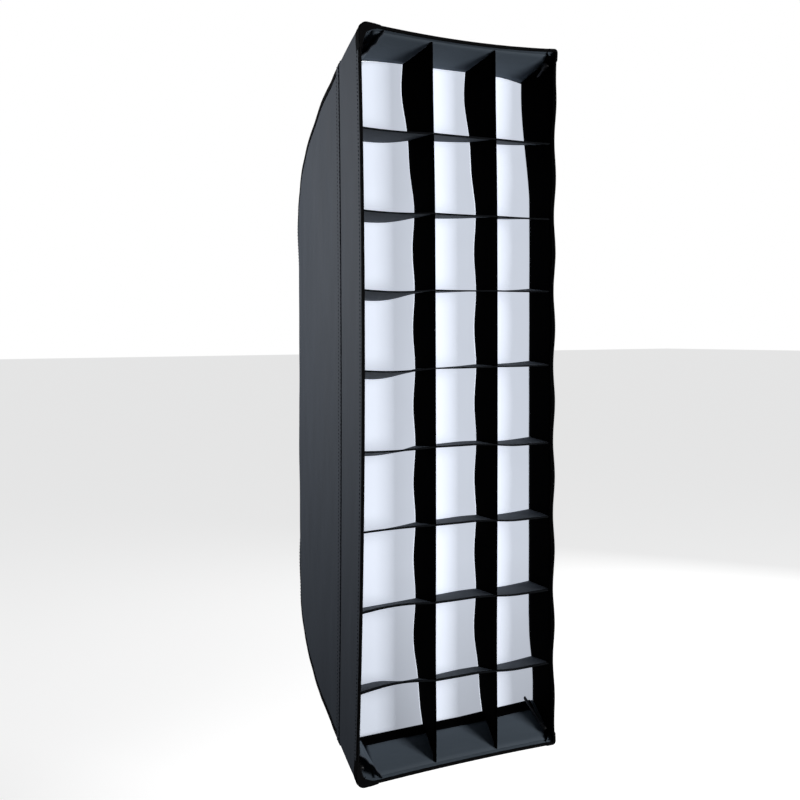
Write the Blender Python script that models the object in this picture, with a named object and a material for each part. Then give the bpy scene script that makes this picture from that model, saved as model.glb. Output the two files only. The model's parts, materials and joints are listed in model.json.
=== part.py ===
"""Strip softbox with a fabric egg-crate grid, hung on a rotating speed ring.

Units are metres.  +Z runs along the long side of the box, the light leaves towards -Y, and the
origin is the centre of the seat face where the lamp's front meets the mount insert.
"""

import math

import bmesh
import bpy
from mathutils import Matrix, Vector

# Overall fabric box
BOX_WIDTH = 0.300
BOX_HEIGHT = 0.900
FABRIC_DEPTH = 0.255
FABRIC_THICKNESS = 0.0015
LIP_STRIPS = 2
SKIN_STRIPS = 16
RING_END_WIDTH = 0.140
RING_END_HEIGHT = 0.160
SIDE_START_SLOPE = 0.06
SIDE_BOW_POWER = 5.0
TOP_START_SLOPE = 0.80
TOP_BOW_POWER = 4.5

# Recess at the front, its binding and what is fixed in it
RECESS_DEPTH = 0.050
BINDING_DEPTH = 0.004
BINDING_WIDTH = 0.005
CORNER_RADIUS = 0.012
POCKET_LEG = 0.026
POCKET_LENGTH = 0.014
POCKET_STRIPS = 2
TAPE_WIDTH = 0.016
TAPE_THICKNESS = 0.0012
DIFFUSER_THICKNESS = 0.0010

# Grid of fabric strips
GRID_COLUMNS = 3
GRID_ROWS = 9
COLUMN_PITCH = 0.094
COLUMN_SHIFT = 0.009
ROW_PITCH = 0.0961
ROW_SHIFT = -0.001
STRIP_THICKNESS = 0.0012
SLOT_SHARE = 0.5

# Inner baffle
BAFFLE_BEHIND_FRONT = 0.125
BAFFLE_WIDTH = 0.206
BAFFLE_HEIGHT = 0.560
STRAP_WIDTH = 0.010
STRAP_THICKNESS = 0.0012
STRAP_END_SHARE = 0.25

# Rods, their sockets and tips
ROD_RADIUS = 0.0020
SOCKET_RADIUS = 0.0045
SOCKET_LENGTH = 0.026
ROD_INTO_SOCKET = 0.020
TIP_RADIUS = 0.0038
TIP_LENGTH = 0.012
TIP_BODY_SHARE = 0.8
ROD_SIDES = 8
TIP_SIDES = 12
ROD_STATIONS = 18

# Speed ring, mount insert and lock
RING_THICKNESS = 0.010
RING_BORDER = 0.003
RING_CORNER_RADIUS = 0.016
BORE_RADIUS = 0.0592
JOURNAL_CLEARANCE = 0.0006
JOURNAL_WALL = 0.0131
FLANGE_OVERLAP = 0.0098
FLANGE_THICKNESS = 0.004
SPIGOT_WALL = 0.0032
SPIGOT_LENGTH = 0.012
LUG_REACH = 0.0036
LUG_THICKNESS = 0.003
LUG_COUNT = 3
LUG_SWEEP = math.radians(40)
LUG_STEPS = 6
RETAINER_OVERLAP = 0.0040
RETAINER_THICKNESS = 0.0025
SCREW_COUNT = 4
SCREW_SHANK_RADIUS = 0.0015
SCREW_HEAD_RADIUS = 0.0030
SCREW_HEAD_HEIGHT = 0.0018
SCREW_LENGTH = 0.009
SCREW_HOLE_LEAD = 0.00225
LOCK_STUD_RADIUS = 0.0028
LOCK_KNOB_RADIUS = 0.0105
LOCK_KNOB_LENGTH = 0.018
LOCK_KNOB_STANDOFF = 0.006
LOCK_KNOB_LOBES = 6
LOCK_LOBE_DEPTH = 0.0012
LOBE_STEPS = 8

# Fits
GAP = 0.0003
HOLE_CLEARANCE = 0.0004
LOOSE_CLEARANCE = 0.0010
TURNED_STEPS = 64
SMALL_STEPS = 20
SOFT_EDGE_ANGLE = math.radians(35)
CORNER_STEPS = 5
SLOPE_STEP = 0.00025

PLATE_BACK = -(FLANGE_THICKNESS + GAP)
PLATE_FRONT = PLATE_BACK - RING_THICKNESS
FABRIC_BACK = PLATE_FRONT - GAP
FRONT_PLANE = FABRIC_BACK - FABRIC_DEPTH
JOURNAL_RADIUS = BORE_RADIUS - JOURNAL_CLEARANCE
THROAT_RADIUS = JOURNAL_RADIUS - JOURNAL_WALL
SPIGOT_RADIUS = THROAT_RADIUS + SPIGOT_WALL
FLANGE_RADIUS = BORE_RADIUS + FLANGE_OVERLAP
RETAINER_RADIUS = BORE_RADIUS + RETAINER_OVERLAP
SCREW_CIRCLE = (THROAT_RADIUS + JOURNAL_RADIUS) / 2
CORNER_CUT = POCKET_LEG + LOOSE_CLEARANCE
RING_MIDDLE = Vector((0, (PLATE_FRONT + PLATE_BACK) / 2, 0))
ROD_INSET = FABRIC_THICKNESS + GAP + TAPE_THICKNESS + SOCKET_RADIUS + LOOSE_CLEARANCE

CORNERS = {
    "top_left": (-1, 1),
    "top_right": (1, 1),
    "bottom_left": (-1, -1),
    "bottom_right": (1, -1),
}

FINISHES = {
    "black_nylon": ((0.045, 0.052, 0.062), 0.75, 0.0),
    "grid_nylon": ((0.012, 0.013, 0.016), 0.80, 0.0),
    "diffusion_cloth": ((0.86, 0.89, 0.93), 0.70, 0.0),
    "webbing": ((0.010, 0.010, 0.012), 0.85, 0.0),
    "hook_tape": ((0.020, 0.020, 0.022), 0.95, 0.0),
    "spring_steel": ((0.55, 0.56, 0.58), 0.30, 1.0),
    "cast_aluminium": ((0.10, 0.10, 0.11), 0.45, 0.6),
    "plated_steel": ((0.70, 0.70, 0.70), 0.25, 1.0),
    "moulded_plastic": ((0.015, 0.015, 0.017), 0.50, 0.0),
}


# ---------------------------------------------------------------- shape of the fabric box

def bowed(distance, start, end, start_slope, power):
    """Half size of the box this far behind its front plane: straight at first, then bowing in."""
    share = distance / FABRIC_DEPTH
    return start - start_slope * distance - (start - end - start_slope * FABRIC_DEPTH) * share**power


def half_width(distance):
    return bowed(distance, BOX_WIDTH / 2, RING_END_WIDTH / 2, SIDE_START_SLOPE, SIDE_BOW_POWER)


def half_height(distance):
    return bowed(distance, BOX_HEIGHT / 2, RING_END_HEIGHT / 2, TOP_START_SLOPE, TOP_BOW_POWER)


def stretch(half_size, distance):
    """How much longer a wall's thickness is when it is measured across the box, not square to it."""
    near = max(distance - SLOPE_STEP, 0.0)
    far = min(distance + SLOPE_STEP, FABRIC_DEPTH)
    slope = (half_size(near) - half_size(far)) / (far - near)
    return math.hypot(1.0, slope)


def inside_width(distance, inset):
    return half_width(distance) - inset * stretch(half_width, distance)


def inside_height(distance, inset):
    return half_height(distance) - inset * stretch(half_height, distance)


def behind_front(distance):
    return FRONT_PLANE + distance


# ---------------------------------------------------------------- making objects

def finish_material(finish):
    material = bpy.data.materials.get(finish)
    if material is None:
        colour, roughness, metallic = FINISHES[finish]
        material = bpy.data.materials.new(finish)
        material.use_nodes = True
        shader = material.node_tree.nodes["Principled BSDF"]
        shader.inputs["Base Color"].default_value = (*colour, 1.0)
        shader.inputs["Roughness"].default_value = roughness
        shader.inputs["Metallic"].default_value = metallic
    return material


def add_object(name, shape, finish, parent, origin=(0.0, 0.0, 0.0), smooth=False):
    """Turn a bmesh in world coordinates into an object whose own origin is at the given point."""
    shape.normal_update()
    bmesh.ops.recalc_face_normals(shape, faces=shape.faces)
    bmesh.ops.translate(shape, vec=-Vector(origin), verts=shape.verts)
    mesh = bpy.data.meshes.new(name)
    shape.to_mesh(mesh)
    shape.free()
    if smooth:
        mesh.shade_smooth()
        mesh.set_sharp_from_angle(angle=SOFT_EDGE_ANGLE)
    mesh.materials.append(finish_material(finish))
    piece = bpy.data.objects.new(name, mesh)
    bpy.context.scene.collection.objects.link(piece)
    piece.parent = parent
    parent_place = parent.location if parent else Vector()
    piece.location = Vector(origin) - parent_place
    return piece


def add_pivot(name, place):
    pivot = bpy.data.objects.new(name, None)
    bpy.context.scene.collection.objects.link(pivot)
    pivot.location = place
    return pivot


def cut(piece, cutter):
    """Subtract one object from another, keeping the cutter as a hidden wire guide."""
    cutter.hide_render = True
    cutter.display_type = "WIRE"
    modifier = piece.modifiers.new("cut_" + cutter.name, "BOOLEAN")
    modifier.operation = "DIFFERENCE"
    modifier.solver = "EXACT"
    modifier.object = cutter


def join(piece, other):
    """Fuse a second solid, kept as a hidden wire guide, into a piece."""
    other.hide_render = True
    other.display_type = "WIRE"
    modifier = piece.modifiers.new("join_" + other.name, "BOOLEAN")
    modifier.operation = "UNION"
    modifier.solver = "EXACT"
    modifier.object = other


def bent_slab(place, along, across):
    """A flat slab of unit size cut into strips, then bent so each point goes to place(u, v, w)."""
    shape = bmesh.new()
    bmesh.ops.create_grid(shape, x_segments=along, y_segments=across, size=0.5)
    bmesh.ops.translate(shape, vec=(0.5, 0.5, 0.0), verts=shape.verts)
    raised = bmesh.ops.extrude_face_region(shape, geom=shape.faces[:], use_keep_orig=True)
    upper = [item for item in raised["geom"] if isinstance(item, bmesh.types.BMVert)]
    bmesh.ops.translate(shape, vec=(0.0, 0.0, 1.0), verts=upper)
    for vert in shape.verts:
        vert.co = place(*vert.co)
    return shape


def flat_plate(outline, plane, low, high):
    """A closed outline of (a, b) points given thickness along the axis that the plane leaves out."""
    def to_world(a, b, c):
        if plane == "XZ":
            return (a, c, b)
        if plane == "YZ":
            return (c, a, b)
        return (a, b, c)

    shape = bmesh.new()
    verts = [shape.verts.new(to_world(a, b, low)) for a, b in outline]
    face = shape.faces.new(verts)
    raised = bmesh.ops.extrude_face_region(shape, geom=[face], use_keep_orig=True)
    upper = [item for item in raised["geom"] if isinstance(item, bmesh.types.BMVert)]
    shift = Vector(to_world(0.0, 0.0, high - low))
    bmesh.ops.translate(shape, vec=shift, verts=upper)
    return shape


def frame_plate(outer, inner, low, high):
    """A plate in the XZ plane between two closed outlines with the same number of points."""
    shape = bmesh.new()
    loops = []
    for outline in (outer, inner):
        for level in (low, high):
            loops.append([shape.verts.new((a, level, b)) for a, b in outline])
    outer_low, outer_high, inner_low, inner_high = loops
    count = len(outer_low)
    for first, second in ((outer_low, outer_high), (inner_low, inner_high),
                          (outer_low, inner_low), (outer_high, inner_high)):
        for i in range(count):
            j = (i + 1) % count
            shape.faces.new((first[i], first[j], second[j], second[i]))
    return shape


def rounded_rectangle(half_x, half_z, radius, steps):
    """Outline points of a rectangle with round corners, anticlockwise."""
    points = []
    for quarter, (sign_x, sign_z) in enumerate(((1, 1), (-1, 1), (-1, -1), (1, -1))):
        for step in range(steps + 1):
            angle = (quarter + step / steps) * math.pi / 2
            x = sign_x * (half_x - radius) + radius * math.cos(angle)
            z = sign_z * (half_z - radius) + radius * math.sin(angle)
            points.append((x, z))
    return points


def cut_rectangle(half_x, half_z, leg):
    """Outline points of a rectangle whose corners are cut off at 45 degrees, anticlockwise."""
    return ((half_x, half_z - leg), (half_x - leg, half_z), (leg - half_x, half_z), (-half_x, half_z - leg),
            (-half_x, leg - half_z), (leg - half_x, -half_z), (half_x - leg, -half_z), (half_x, leg - half_z))


def cut_frame(half_x, half_z, leg, width, low, high):
    """A flat band of even width round a rectangle with cut corners."""
    inner_leg = leg - width * (2 - math.sqrt(2))
    outer = cut_rectangle(half_x, half_z, leg)
    inner = cut_rectangle(half_x - width, half_z - width, inner_leg)
    return frame_plate(outer, inner, low, high)


def turned(profile, axis, centre, steps=TURNED_STEPS):
    """Spin a closed (radius, height) profile once round an axis; a radius of 0 lies on the axis."""
    shape = bmesh.new()
    turn = Vector((0, 0, 1)).rotation_difference(Vector(axis)).to_matrix()
    place = Matrix.Translation(centre) @ turn.to_4x4()
    verts = [shape.verts.new(place @ Vector((radius, 0.0, height))) for radius, height in profile]
    edges = [shape.edges.new((verts[i], verts[(i + 1) % len(verts)])) for i in range(len(verts))
             if profile[i][0] > 0 or profile[(i + 1) % len(verts)][0] > 0]
    bmesh.ops.spin(shape, geom=verts + edges, cent=centre, axis=axis, angle=math.tau, steps=steps,
                   use_merge=True)
    bmesh.ops.remove_doubles(shape, verts=shape.verts, dist=1e-6)
    return shape


def rod_shape(points, radius, sides):
    """A round bar through a list of points, with flat ends square to it."""
    shape = bmesh.new()
    rings = []
    for i, point in enumerate(points):
        before = points[max(i - 1, 0)]
        after = points[min(i + 1, len(points) - 1)]
        turn = Vector((0, 0, 1)).rotation_difference(after - before).to_matrix()
        ring = []
        for side in range(sides):
            angle = math.tau * side / sides
            offset = turn @ Vector((radius * math.cos(angle), radius * math.sin(angle), 0.0))
            ring.append(shape.verts.new(point + offset))
        rings.append(ring)
    for first, second in zip(rings, rings[1:]):
        for i in range(sides):
            j = (i + 1) % sides
            shape.faces.new((first[i], first[j], second[j], second[i]))
    shape.faces.new(rings[0])
    shape.faces.new(rings[-1])
    return shape


def block_between(start, end, width, thickness):
    """A flat bar from one point to another, with its thickness along Y."""
    shape = bmesh.new()
    bmesh.ops.create_cube(shape, size=1.0)
    along = end - start
    side = along.cross(Vector((0, 1, 0))).normalized()
    for vert in shape.verts:
        u, v, w = vert.co
        vert.co = start + along * (u + 0.5) + side * (v * width) + Vector((0, 1, 0)) * (w * thickness)
    return shape


# ---------------------------------------------------------------- fabric box

def side_panel(name, side, near, far, thickness, parent, strips):
    """Left or right wall between two distances behind the front, held clear of the top and bottom."""
    def place(u, v, w):
        distance = near + (far - near) * u
        across = inside_width(distance, thickness * w)
        reach = inside_height(distance, thickness + GAP)
        return Vector((side * across, behind_front(distance), reach * (2 * v - 1)))
    add_object(name, bent_slab(place, strips, 1), "black_nylon", parent, smooth=True)


def end_panel(name, side, near, far, thickness, parent, strips):
    """Top or bottom wall between two distances behind the front, reaching over the side walls."""
    def place(u, v, w):
        distance = near + (far - near) * u
        across = inside_height(distance, thickness * w)
        reach = half_width(distance)
        return Vector((reach * (2 * v - 1), behind_front(distance), side * across))
    add_object(name, bent_slab(place, strips, 1), "black_nylon", parent, smooth=True)


def make_skin(box):
    lip_near = BINDING_DEPTH + GAP
    skin_near = RECESS_DEPTH + GAP
    for name, maker, side in (("left", side_panel, -1), ("right", side_panel, 1),
                              ("bottom", end_panel, -1), ("top", end_panel, 1)):
        maker("front_lip_" + name, side, lip_near, RECESS_DEPTH, FABRIC_THICKNESS, box, LIP_STRIPS)
        maker("skin_panel_" + name, side, skin_near, FABRIC_DEPTH, FABRIC_THICKNESS, box, SKIN_STRIPS)


def make_binding(box):
    outer = rounded_rectangle(BOX_WIDTH / 2, BOX_HEIGHT / 2, CORNER_RADIUS, CORNER_STEPS)
    inner = rounded_rectangle(BOX_WIDTH / 2 - BINDING_WIDTH, BOX_HEIGHT / 2 - BINDING_WIDTH,
                              CORNER_RADIUS - BINDING_WIDTH, CORNER_STEPS)
    shape = frame_plate(outer, inner, FRONT_PLANE, FRONT_PLANE + BINDING_DEPTH)
    add_object("front_edge_binding", shape, "webbing", box)


def make_collar(box):
    """Webbing sewn round the inside of the fabric where it closes on the ring."""
    near = FABRIC_DEPTH - TAPE_WIDTH
    outer = FABRIC_THICKNESS + GAP
    inner = outer + TAPE_THICKNESS
    shape = bmesh.new()
    rings = []
    for distance, inset in ((near, outer), (FABRIC_DEPTH, outer), (FABRIC_DEPTH, inner), (near, inner)):
        x = inside_width(distance, inset)
        z = inside_height(distance, inset)
        y = behind_front(distance)
        corners = ((x, z), (-x, z), (-x, -z), (x, -z))
        rings.append([shape.verts.new((a, y, b)) for a, b in corners])
    for first, second in zip(rings, rings[1:] + rings[:1]):
        for i in range(4):
            j = (i + 1) % 4
            shape.faces.new((first[i], first[j], second[j], second[i]))
    add_object("rear_collar", shape, "webbing", box)


def make_recess_tape(box):
    """Loop tape sewn to the seam behind the diffuser, which grips the diffuser's own tape."""
    near = RECESS_DEPTH + DIFFUSER_THICKNESS + TAPE_THICKNESS + 3 * GAP
    far = near + TAPE_THICKNESS
    inset = FABRIC_THICKNESS + GAP
    x = inside_width(far, inset)
    z = inside_height(far, inset)
    shape = cut_frame(x, z, CORNER_CUT, TAPE_WIDTH, behind_front(near), behind_front(far))
    add_object("recess_loop_tape", shape, "hook_tape", box)


def make_corner_pockets(box):
    """Triangular pockets across the front corners, which hold the rods' tips."""
    near = BINDING_DEPTH + GAP
    inset = FABRIC_THICKNESS + GAP
    for name, (sign_x, sign_z) in CORNERS.items():
        def place(u, v, w, sign_x=sign_x, sign_z=sign_z):
            distance = near + POCKET_LENGTH * u
            x = inside_width(distance, inset)
            z = inside_height(distance, inset)
            leg = POCKET_LEG - FABRIC_THICKNESS * math.sqrt(2) * w
            start = Vector((x - leg, 0.0, z))
            end = Vector((x, 0.0, z - leg))
            point = start.lerp(end, v)
            return Vector((sign_x * point.x, behind_front(distance), sign_z * point.z))
        add_object("corner_pocket_" + name, bent_slab(place, POCKET_STRIPS, 1), "black_nylon", box)


# ---------------------------------------------------------------- rods and sockets

def rod_point(distance, sign_x, sign_z):
    x = inside_width(distance, ROD_INSET)
    z = inside_height(distance, ROD_INSET)
    return Vector((sign_x * x, behind_front(distance), sign_z * z))


def make_rods(box):
    tip_face = BINDING_DEPTH + LOOSE_CLEARANCE
    rod_start = tip_face + TIP_LENGTH
    rod_end = FABRIC_DEPTH - SOCKET_RADIUS - LOOSE_CLEARANCE
    stations = [rod_start + (rod_end - rod_start) * step / ROD_STATIONS for step in range(ROD_STATIONS + 1)]
    for name, (sign_x, sign_z) in CORNERS.items():
        points = [rod_point(distance, sign_x, sign_z) for distance in stations]
        heading = (points[-1] - points[-2]).normalized()
        socket_floor = points[-1]
        socket_mouth = socket_floor - heading * SOCKET_LENGTH
        clear = SOCKET_LENGTH + ROD_RADIUS
        straight = [point for point in points if (socket_floor - point).length > clear]
        rod_foot = socket_mouth + heading * ROD_INTO_SOCKET
        path = straight + [socket_mouth, rod_foot]
        add_object("rod_" + name, rod_shape(path, ROD_RADIUS, ROD_SIDES), "spring_steel", box, smooth=True)
        make_socket(name, socket_mouth, socket_floor, heading, box)
        lead = (path[0] - path[1]).normalized()
        tip_start = path[0] + lead * GAP
        tip_end = tip_start + lead * TIP_LENGTH * TIP_BODY_SHARE
        tip = rod_shape([tip_start, tip_end], TIP_RADIUS, TIP_SIDES)
        add_object("rod_tip_" + name, tip, "moulded_plastic", box, smooth=True)


def make_socket(name, mouth, floor, heading, box):
    """A steel socket for a rod's foot, standing on the front of the ring."""
    hole_radius = ROD_RADIUS + HOLE_CLEARANCE
    depth = ROD_INTO_SOCKET + GAP + HOLE_CLEARANCE
    length = (floor - mouth).length
    profile = ((0, 0), (SOCKET_RADIUS, 0), (SOCKET_RADIUS, length), (hole_radius, length),
               (hole_radius, length - depth), (0, length - depth))
    shape = turned(profile, -heading, floor, SMALL_STEPS)
    add_object("rod_socket_" + name, shape, "plated_steel", box, origin=floor, smooth=True)


# ---------------------------------------------------------------- speed ring and mount

def make_speed_ring(box):
    half_x = RING_END_WIDTH / 2 + RING_BORDER
    half_z = RING_END_HEIGHT / 2 + RING_BORDER
    outline = rounded_rectangle(half_x, half_z, RING_CORNER_RADIUS, CORNER_STEPS)
    shape = flat_plate(outline, "XZ", PLATE_FRONT, PLATE_BACK)
    ring = add_object("speed_ring", shape, "cast_aluminium", box, smooth=True)
    through = RING_THICKNESS
    profile = ((0, -through), (BORE_RADIUS, -through), (BORE_RADIUS, through), (0, through))
    bore = turned(profile, (0, 1, 0), RING_MIDDLE)
    cut(ring, add_object("speed_ring_bore", bore, "cast_aluminium", box, smooth=True))
    hole_radius = LOCK_STUD_RADIUS + HOLE_CLEARANCE
    near = BORE_RADIUS - RING_BORDER
    far = half_x + RING_BORDER
    profile = ((0, near), (hole_radius, near), (hole_radius, far), (0, far))
    hole = turned(profile, (1, 0, 0), RING_MIDDLE, SMALL_STEPS)
    cut(ring, add_object("lock_stud_hole", hole, "cast_aluminium", box, smooth=True))


def make_lock(lock):
    """The clamping stud that presses on the insert, and the lobed knob that turns it."""
    edge = RING_END_WIDTH / 2 + RING_BORDER
    knob_start = edge + LOCK_KNOB_STANDOFF
    stud_start = BORE_RADIUS
    stud_end = knob_start + LOCK_KNOB_LENGTH / 2
    profile = ((0, stud_start), (LOCK_STUD_RADIUS, stud_start), (LOCK_STUD_RADIUS, stud_end), (0, stud_end))
    stud = turned(profile, (1, 0, 0), RING_MIDDLE, SMALL_STEPS)
    add_object("lock_stud", stud, "plated_steel", lock, origin=lock.location, smooth=True)
    outline = []
    steps = LOCK_KNOB_LOBES * LOBE_STEPS
    for step in range(steps):
        angle = math.tau * step / steps
        radius = LOCK_KNOB_RADIUS - LOCK_LOBE_DEPTH * (1 + math.cos(LOCK_KNOB_LOBES * angle)) / 2
        outline.append((RING_MIDDLE.y + radius * math.cos(angle), radius * math.sin(angle)))
    knob = flat_plate(outline, "YZ", knob_start, knob_start + LOCK_KNOB_LENGTH)
    knob_object = add_object("lock_knob", knob, "moulded_plastic", lock, origin=lock.location)
    hole_radius = LOCK_STUD_RADIUS + HOLE_CLEARANCE
    hole_end = stud_end + GAP
    profile = ((0, edge), (hole_radius, edge), (hole_radius, hole_end), (0, hole_end))
    hole = turned(profile, (1, 0, 0), RING_MIDDLE, SMALL_STEPS)
    cut(knob_object, add_object("lock_knob_hole", hole, "moulded_plastic", lock, origin=lock.location))


def screw_places():
    for index in range(SCREW_COUNT):
        angle = math.tau * (index + 0.5) / SCREW_COUNT
        yield index + 1, Vector((SCREW_CIRCLE * math.cos(angle), 0.0, SCREW_CIRCLE * math.sin(angle)))


def make_insert():
    """The turned ring that a lamp's bayonet grips, with its lugs, held in the speed ring."""
    profile = ((THROAT_RADIUS, PLATE_FRONT), (JOURNAL_RADIUS, PLATE_FRONT),
               (JOURNAL_RADIUS, -FLANGE_THICKNESS), (FLANGE_RADIUS, -FLANGE_THICKNESS), (FLANGE_RADIUS, 0.0),
               (SPIGOT_RADIUS, 0.0), (SPIGOT_RADIUS, SPIGOT_LENGTH), (THROAT_RADIUS, SPIGOT_LENGTH))
    body = turned(profile, (0, 1, 0), Vector())
    insert = add_object("mount_insert", body, "cast_aluminium", None, smooth=True)
    overlap = (SPIGOT_RADIUS - THROAT_RADIUS) / 2
    for index in range(LUG_COUNT):
        start = math.tau * index / LUG_COUNT
        outline = []
        for radius, order in ((SPIGOT_RADIUS - overlap, 1), (SPIGOT_RADIUS + LUG_REACH, -1)):
            sweep = [start + LUG_SWEEP * step / LUG_STEPS for step in range(LUG_STEPS + 1)][::order]
            outline += [(radius * math.cos(angle), radius * math.sin(angle)) for angle in sweep]
        lug = flat_plate(outline, "XZ", SPIGOT_LENGTH - LUG_THICKNESS - GAP, SPIGOT_LENGTH - GAP)
        join(insert, add_object(f"insert_lug_{index + 1}", lug, "cast_aluminium", None))
    retainer_back = PLATE_FRONT - GAP
    retainer_front = retainer_back - RETAINER_THICKNESS
    ring = turned(((THROAT_RADIUS, retainer_front), (RETAINER_RADIUS, retainer_front),
                   (RETAINER_RADIUS, retainer_back), (THROAT_RADIUS, retainer_back)), (0, 1, 0), Vector())
    retainer = add_object("retaining_ring", ring, "plated_steel", None, smooth=True)
    for index, place in screw_places():
        hole_radius = SCREW_SHANK_RADIUS + HOLE_CLEARANCE
        low = retainer_front + GAP - SCREW_HOLE_LEAD
        shank_front = retainer_front - GAP
        shank_back = shank_front + SCREW_LENGTH
        through = PLATE_FRONT + SCREW_HOLE_LEAD
        for number, piece, end in ((1, retainer, through), (2, insert, shank_back + GAP)):
            profile = ((0, low), (hole_radius, low), (hole_radius, end), (0, end))
            hole = turned(profile, (0, 1, 0), place, SMALL_STEPS)
            name = f"screw_hole_{index}_{number}"
            cut(piece, add_object(name, hole, "plated_steel", None, origin=place, smooth=True))
        head_front = shank_front - SCREW_HEAD_HEIGHT
        screw = turned(((0, head_front), (SCREW_HEAD_RADIUS, head_front), (SCREW_HEAD_RADIUS, shank_front),
                        (SCREW_SHANK_RADIUS, shank_front), (SCREW_SHANK_RADIUS, shank_back), (0, shank_back)),
                       (0, 1, 0), place, SMALL_STEPS)
        add_object(f"retainer_screw_{index}", screw, "plated_steel", None, origin=place, smooth=True)


# ---------------------------------------------------------------- diffusers

def make_diffuser(diffuser):
    """The front cloth, with hook tape sewn round its back."""
    far = RECESS_DEPTH + DIFFUSER_THICKNESS
    tape_far = far + GAP + TAPE_THICKNESS
    half_z = inside_height(tape_far, FABRIC_THICKNESS + LOOSE_CLEARANCE)
    half_x = min(BOX_WIDTH / 2 - BINDING_WIDTH - GAP, inside_width(tape_far, FABRIC_THICKNESS + GAP))
    outline = cut_rectangle(half_x, half_z, CORNER_CUT)
    cloth = flat_plate(outline, "XZ", behind_front(RECESS_DEPTH), behind_front(far))
    add_object("front_diffuser", cloth, "diffusion_cloth", diffuser, origin=diffuser.location)
    tape = cut_frame(half_x, half_z, CORNER_CUT, TAPE_WIDTH, behind_front(far + GAP), behind_front(tape_far))
    add_object("diffuser_hook_tape", tape, "hook_tape", diffuser, origin=diffuser.location)


def make_baffle(baffle):
    """The inner cloth and the four elastic straps that hook it to the rods."""
    shape = bmesh.new()
    bmesh.ops.create_cube(shape, size=1.0)
    size = Vector((BAFFLE_WIDTH, DIFFUSER_THICKNESS, BAFFLE_HEIGHT))
    bmesh.ops.scale(shape, vec=size, verts=shape.verts)
    centre = Vector((0.0, behind_front(BAFFLE_BEHIND_FRONT), 0.0))
    bmesh.ops.translate(shape, vec=centre, verts=shape.verts)
    add_object("inner_baffle", shape, "diffusion_cloth", baffle, origin=baffle.location)
    for name, (sign_x, sign_z) in CORNERS.items():
        corner = centre + Vector((sign_x * BAFFLE_WIDTH / 2, 0.0, sign_z * BAFFLE_HEIGHT / 2))
        rod = rod_point(BAFFLE_BEHIND_FRONT, sign_x, sign_z)
        along = (rod - corner).normalized()
        start = corner + along * STRAP_WIDTH / 2
        end = rod - along * (ROD_RADIUS + STRAP_WIDTH * STRAP_END_SHARE)
        strap = block_between(start, end, STRAP_WIDTH, STRAP_THICKNESS)
        add_object("baffle_strap_" + name, strap, "webbing", baffle, origin=baffle.location)


# ---------------------------------------------------------------- grid

def grid_columns():
    """Centre lines of the upright strips."""
    middle = (GRID_COLUMNS - 2) / 2
    return [COLUMN_SHIFT + (index - middle) * COLUMN_PITCH for index in range(GRID_COLUMNS - 1)]


def grid_rows():
    """Centre lines of the level strips, from the top down."""
    middle = (GRID_ROWS - 2) / 2
    return [ROW_SHIFT + (middle - index) * ROW_PITCH for index in range(GRID_ROWS - 1)]


def slotted_outline(near, far, reach, lines, slot_from_far):
    """Outline of a strip in (distance, length): ends at +-reach(distance), a slot at each line."""
    middle = near + (far - near) * SLOT_SHARE
    slot = STRIP_THICKNESS / 2 + GAP
    bottom = middle - GAP if slot_from_far else middle + GAP
    edge = far if slot_from_far else near
    other = near if slot_from_far else far
    points = [(other, reach(other)), (other, -reach(other)), (edge, -reach(edge))]
    for line in sorted(lines):
        points += [(edge, line - slot), (bottom, line - slot), (bottom, line + slot), (edge, line + slot)]
    points.append((edge, reach(edge)))
    return points


def make_grid(grid):
    near = BINDING_DEPTH + GAP
    far = RECESS_DEPTH - GAP
    border_inset = FABRIC_THICKNESS + GAP
    border_half_x = min(BOX_WIDTH / 2 - BINDING_WIDTH - GAP, inside_width(far, border_inset))
    inner_inset = border_inset + STRIP_THICKNESS + GAP
    side_inner = border_half_x - STRIP_THICKNESS - GAP

    def strip_height(distance):
        return inside_height(distance, inner_inset)

    def strip_width(_distance):
        return side_inner

    half_strip = STRIP_THICKNESS / 2
    for index, x in enumerate(grid_columns()):
        outline = slotted_outline(near, far, strip_height, grid_rows(), True)
        world = [(behind_front(distance), z) for distance, z in outline]
        shape = flat_plate(world, "YZ", x - half_strip, x + half_strip)
        add_object(f"grid_upright_{index + 1}", shape, "grid_nylon", grid, origin=grid.location)
    for index, z in enumerate(grid_rows()):
        outline = slotted_outline(near, far, strip_width, grid_columns(), False)
        world = [(x, behind_front(distance)) for distance, x in outline]
        shape = flat_plate(world, "XY", z - half_strip, z + half_strip)
        add_object(f"grid_level_{index + 1}", shape, "grid_nylon", grid, origin=grid.location)

    for name, side in (("left", -1), ("right", 1)):
        outline = [(behind_front(distance), sign * (strip_height(distance) - CORNER_CUT))
                   for distance, sign in ((near, 1), (near, -1), (far, -1), (far, 1))]
        inner, outer = sorted((side * (border_half_x - STRIP_THICKNESS), side * border_half_x))
        add_object("grid_border_" + name, flat_plate(outline, "YZ", inner, outer), "grid_nylon", grid,
                   origin=grid.location)
    for name, side in (("bottom", -1), ("top", 1)):
        def place(u, v, w, side=side):
            distance = near + (far - near) * u
            across = inside_height(distance, border_inset + STRIP_THICKNESS * w)
            reach = border_half_x - CORNER_CUT
            return Vector((reach * (2 * v - 1), behind_front(distance), side * across))
        border = bent_slab(place, LIP_STRIPS, 1)
        add_object("grid_border_" + name, border, "grid_nylon", grid, origin=grid.location)


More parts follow.
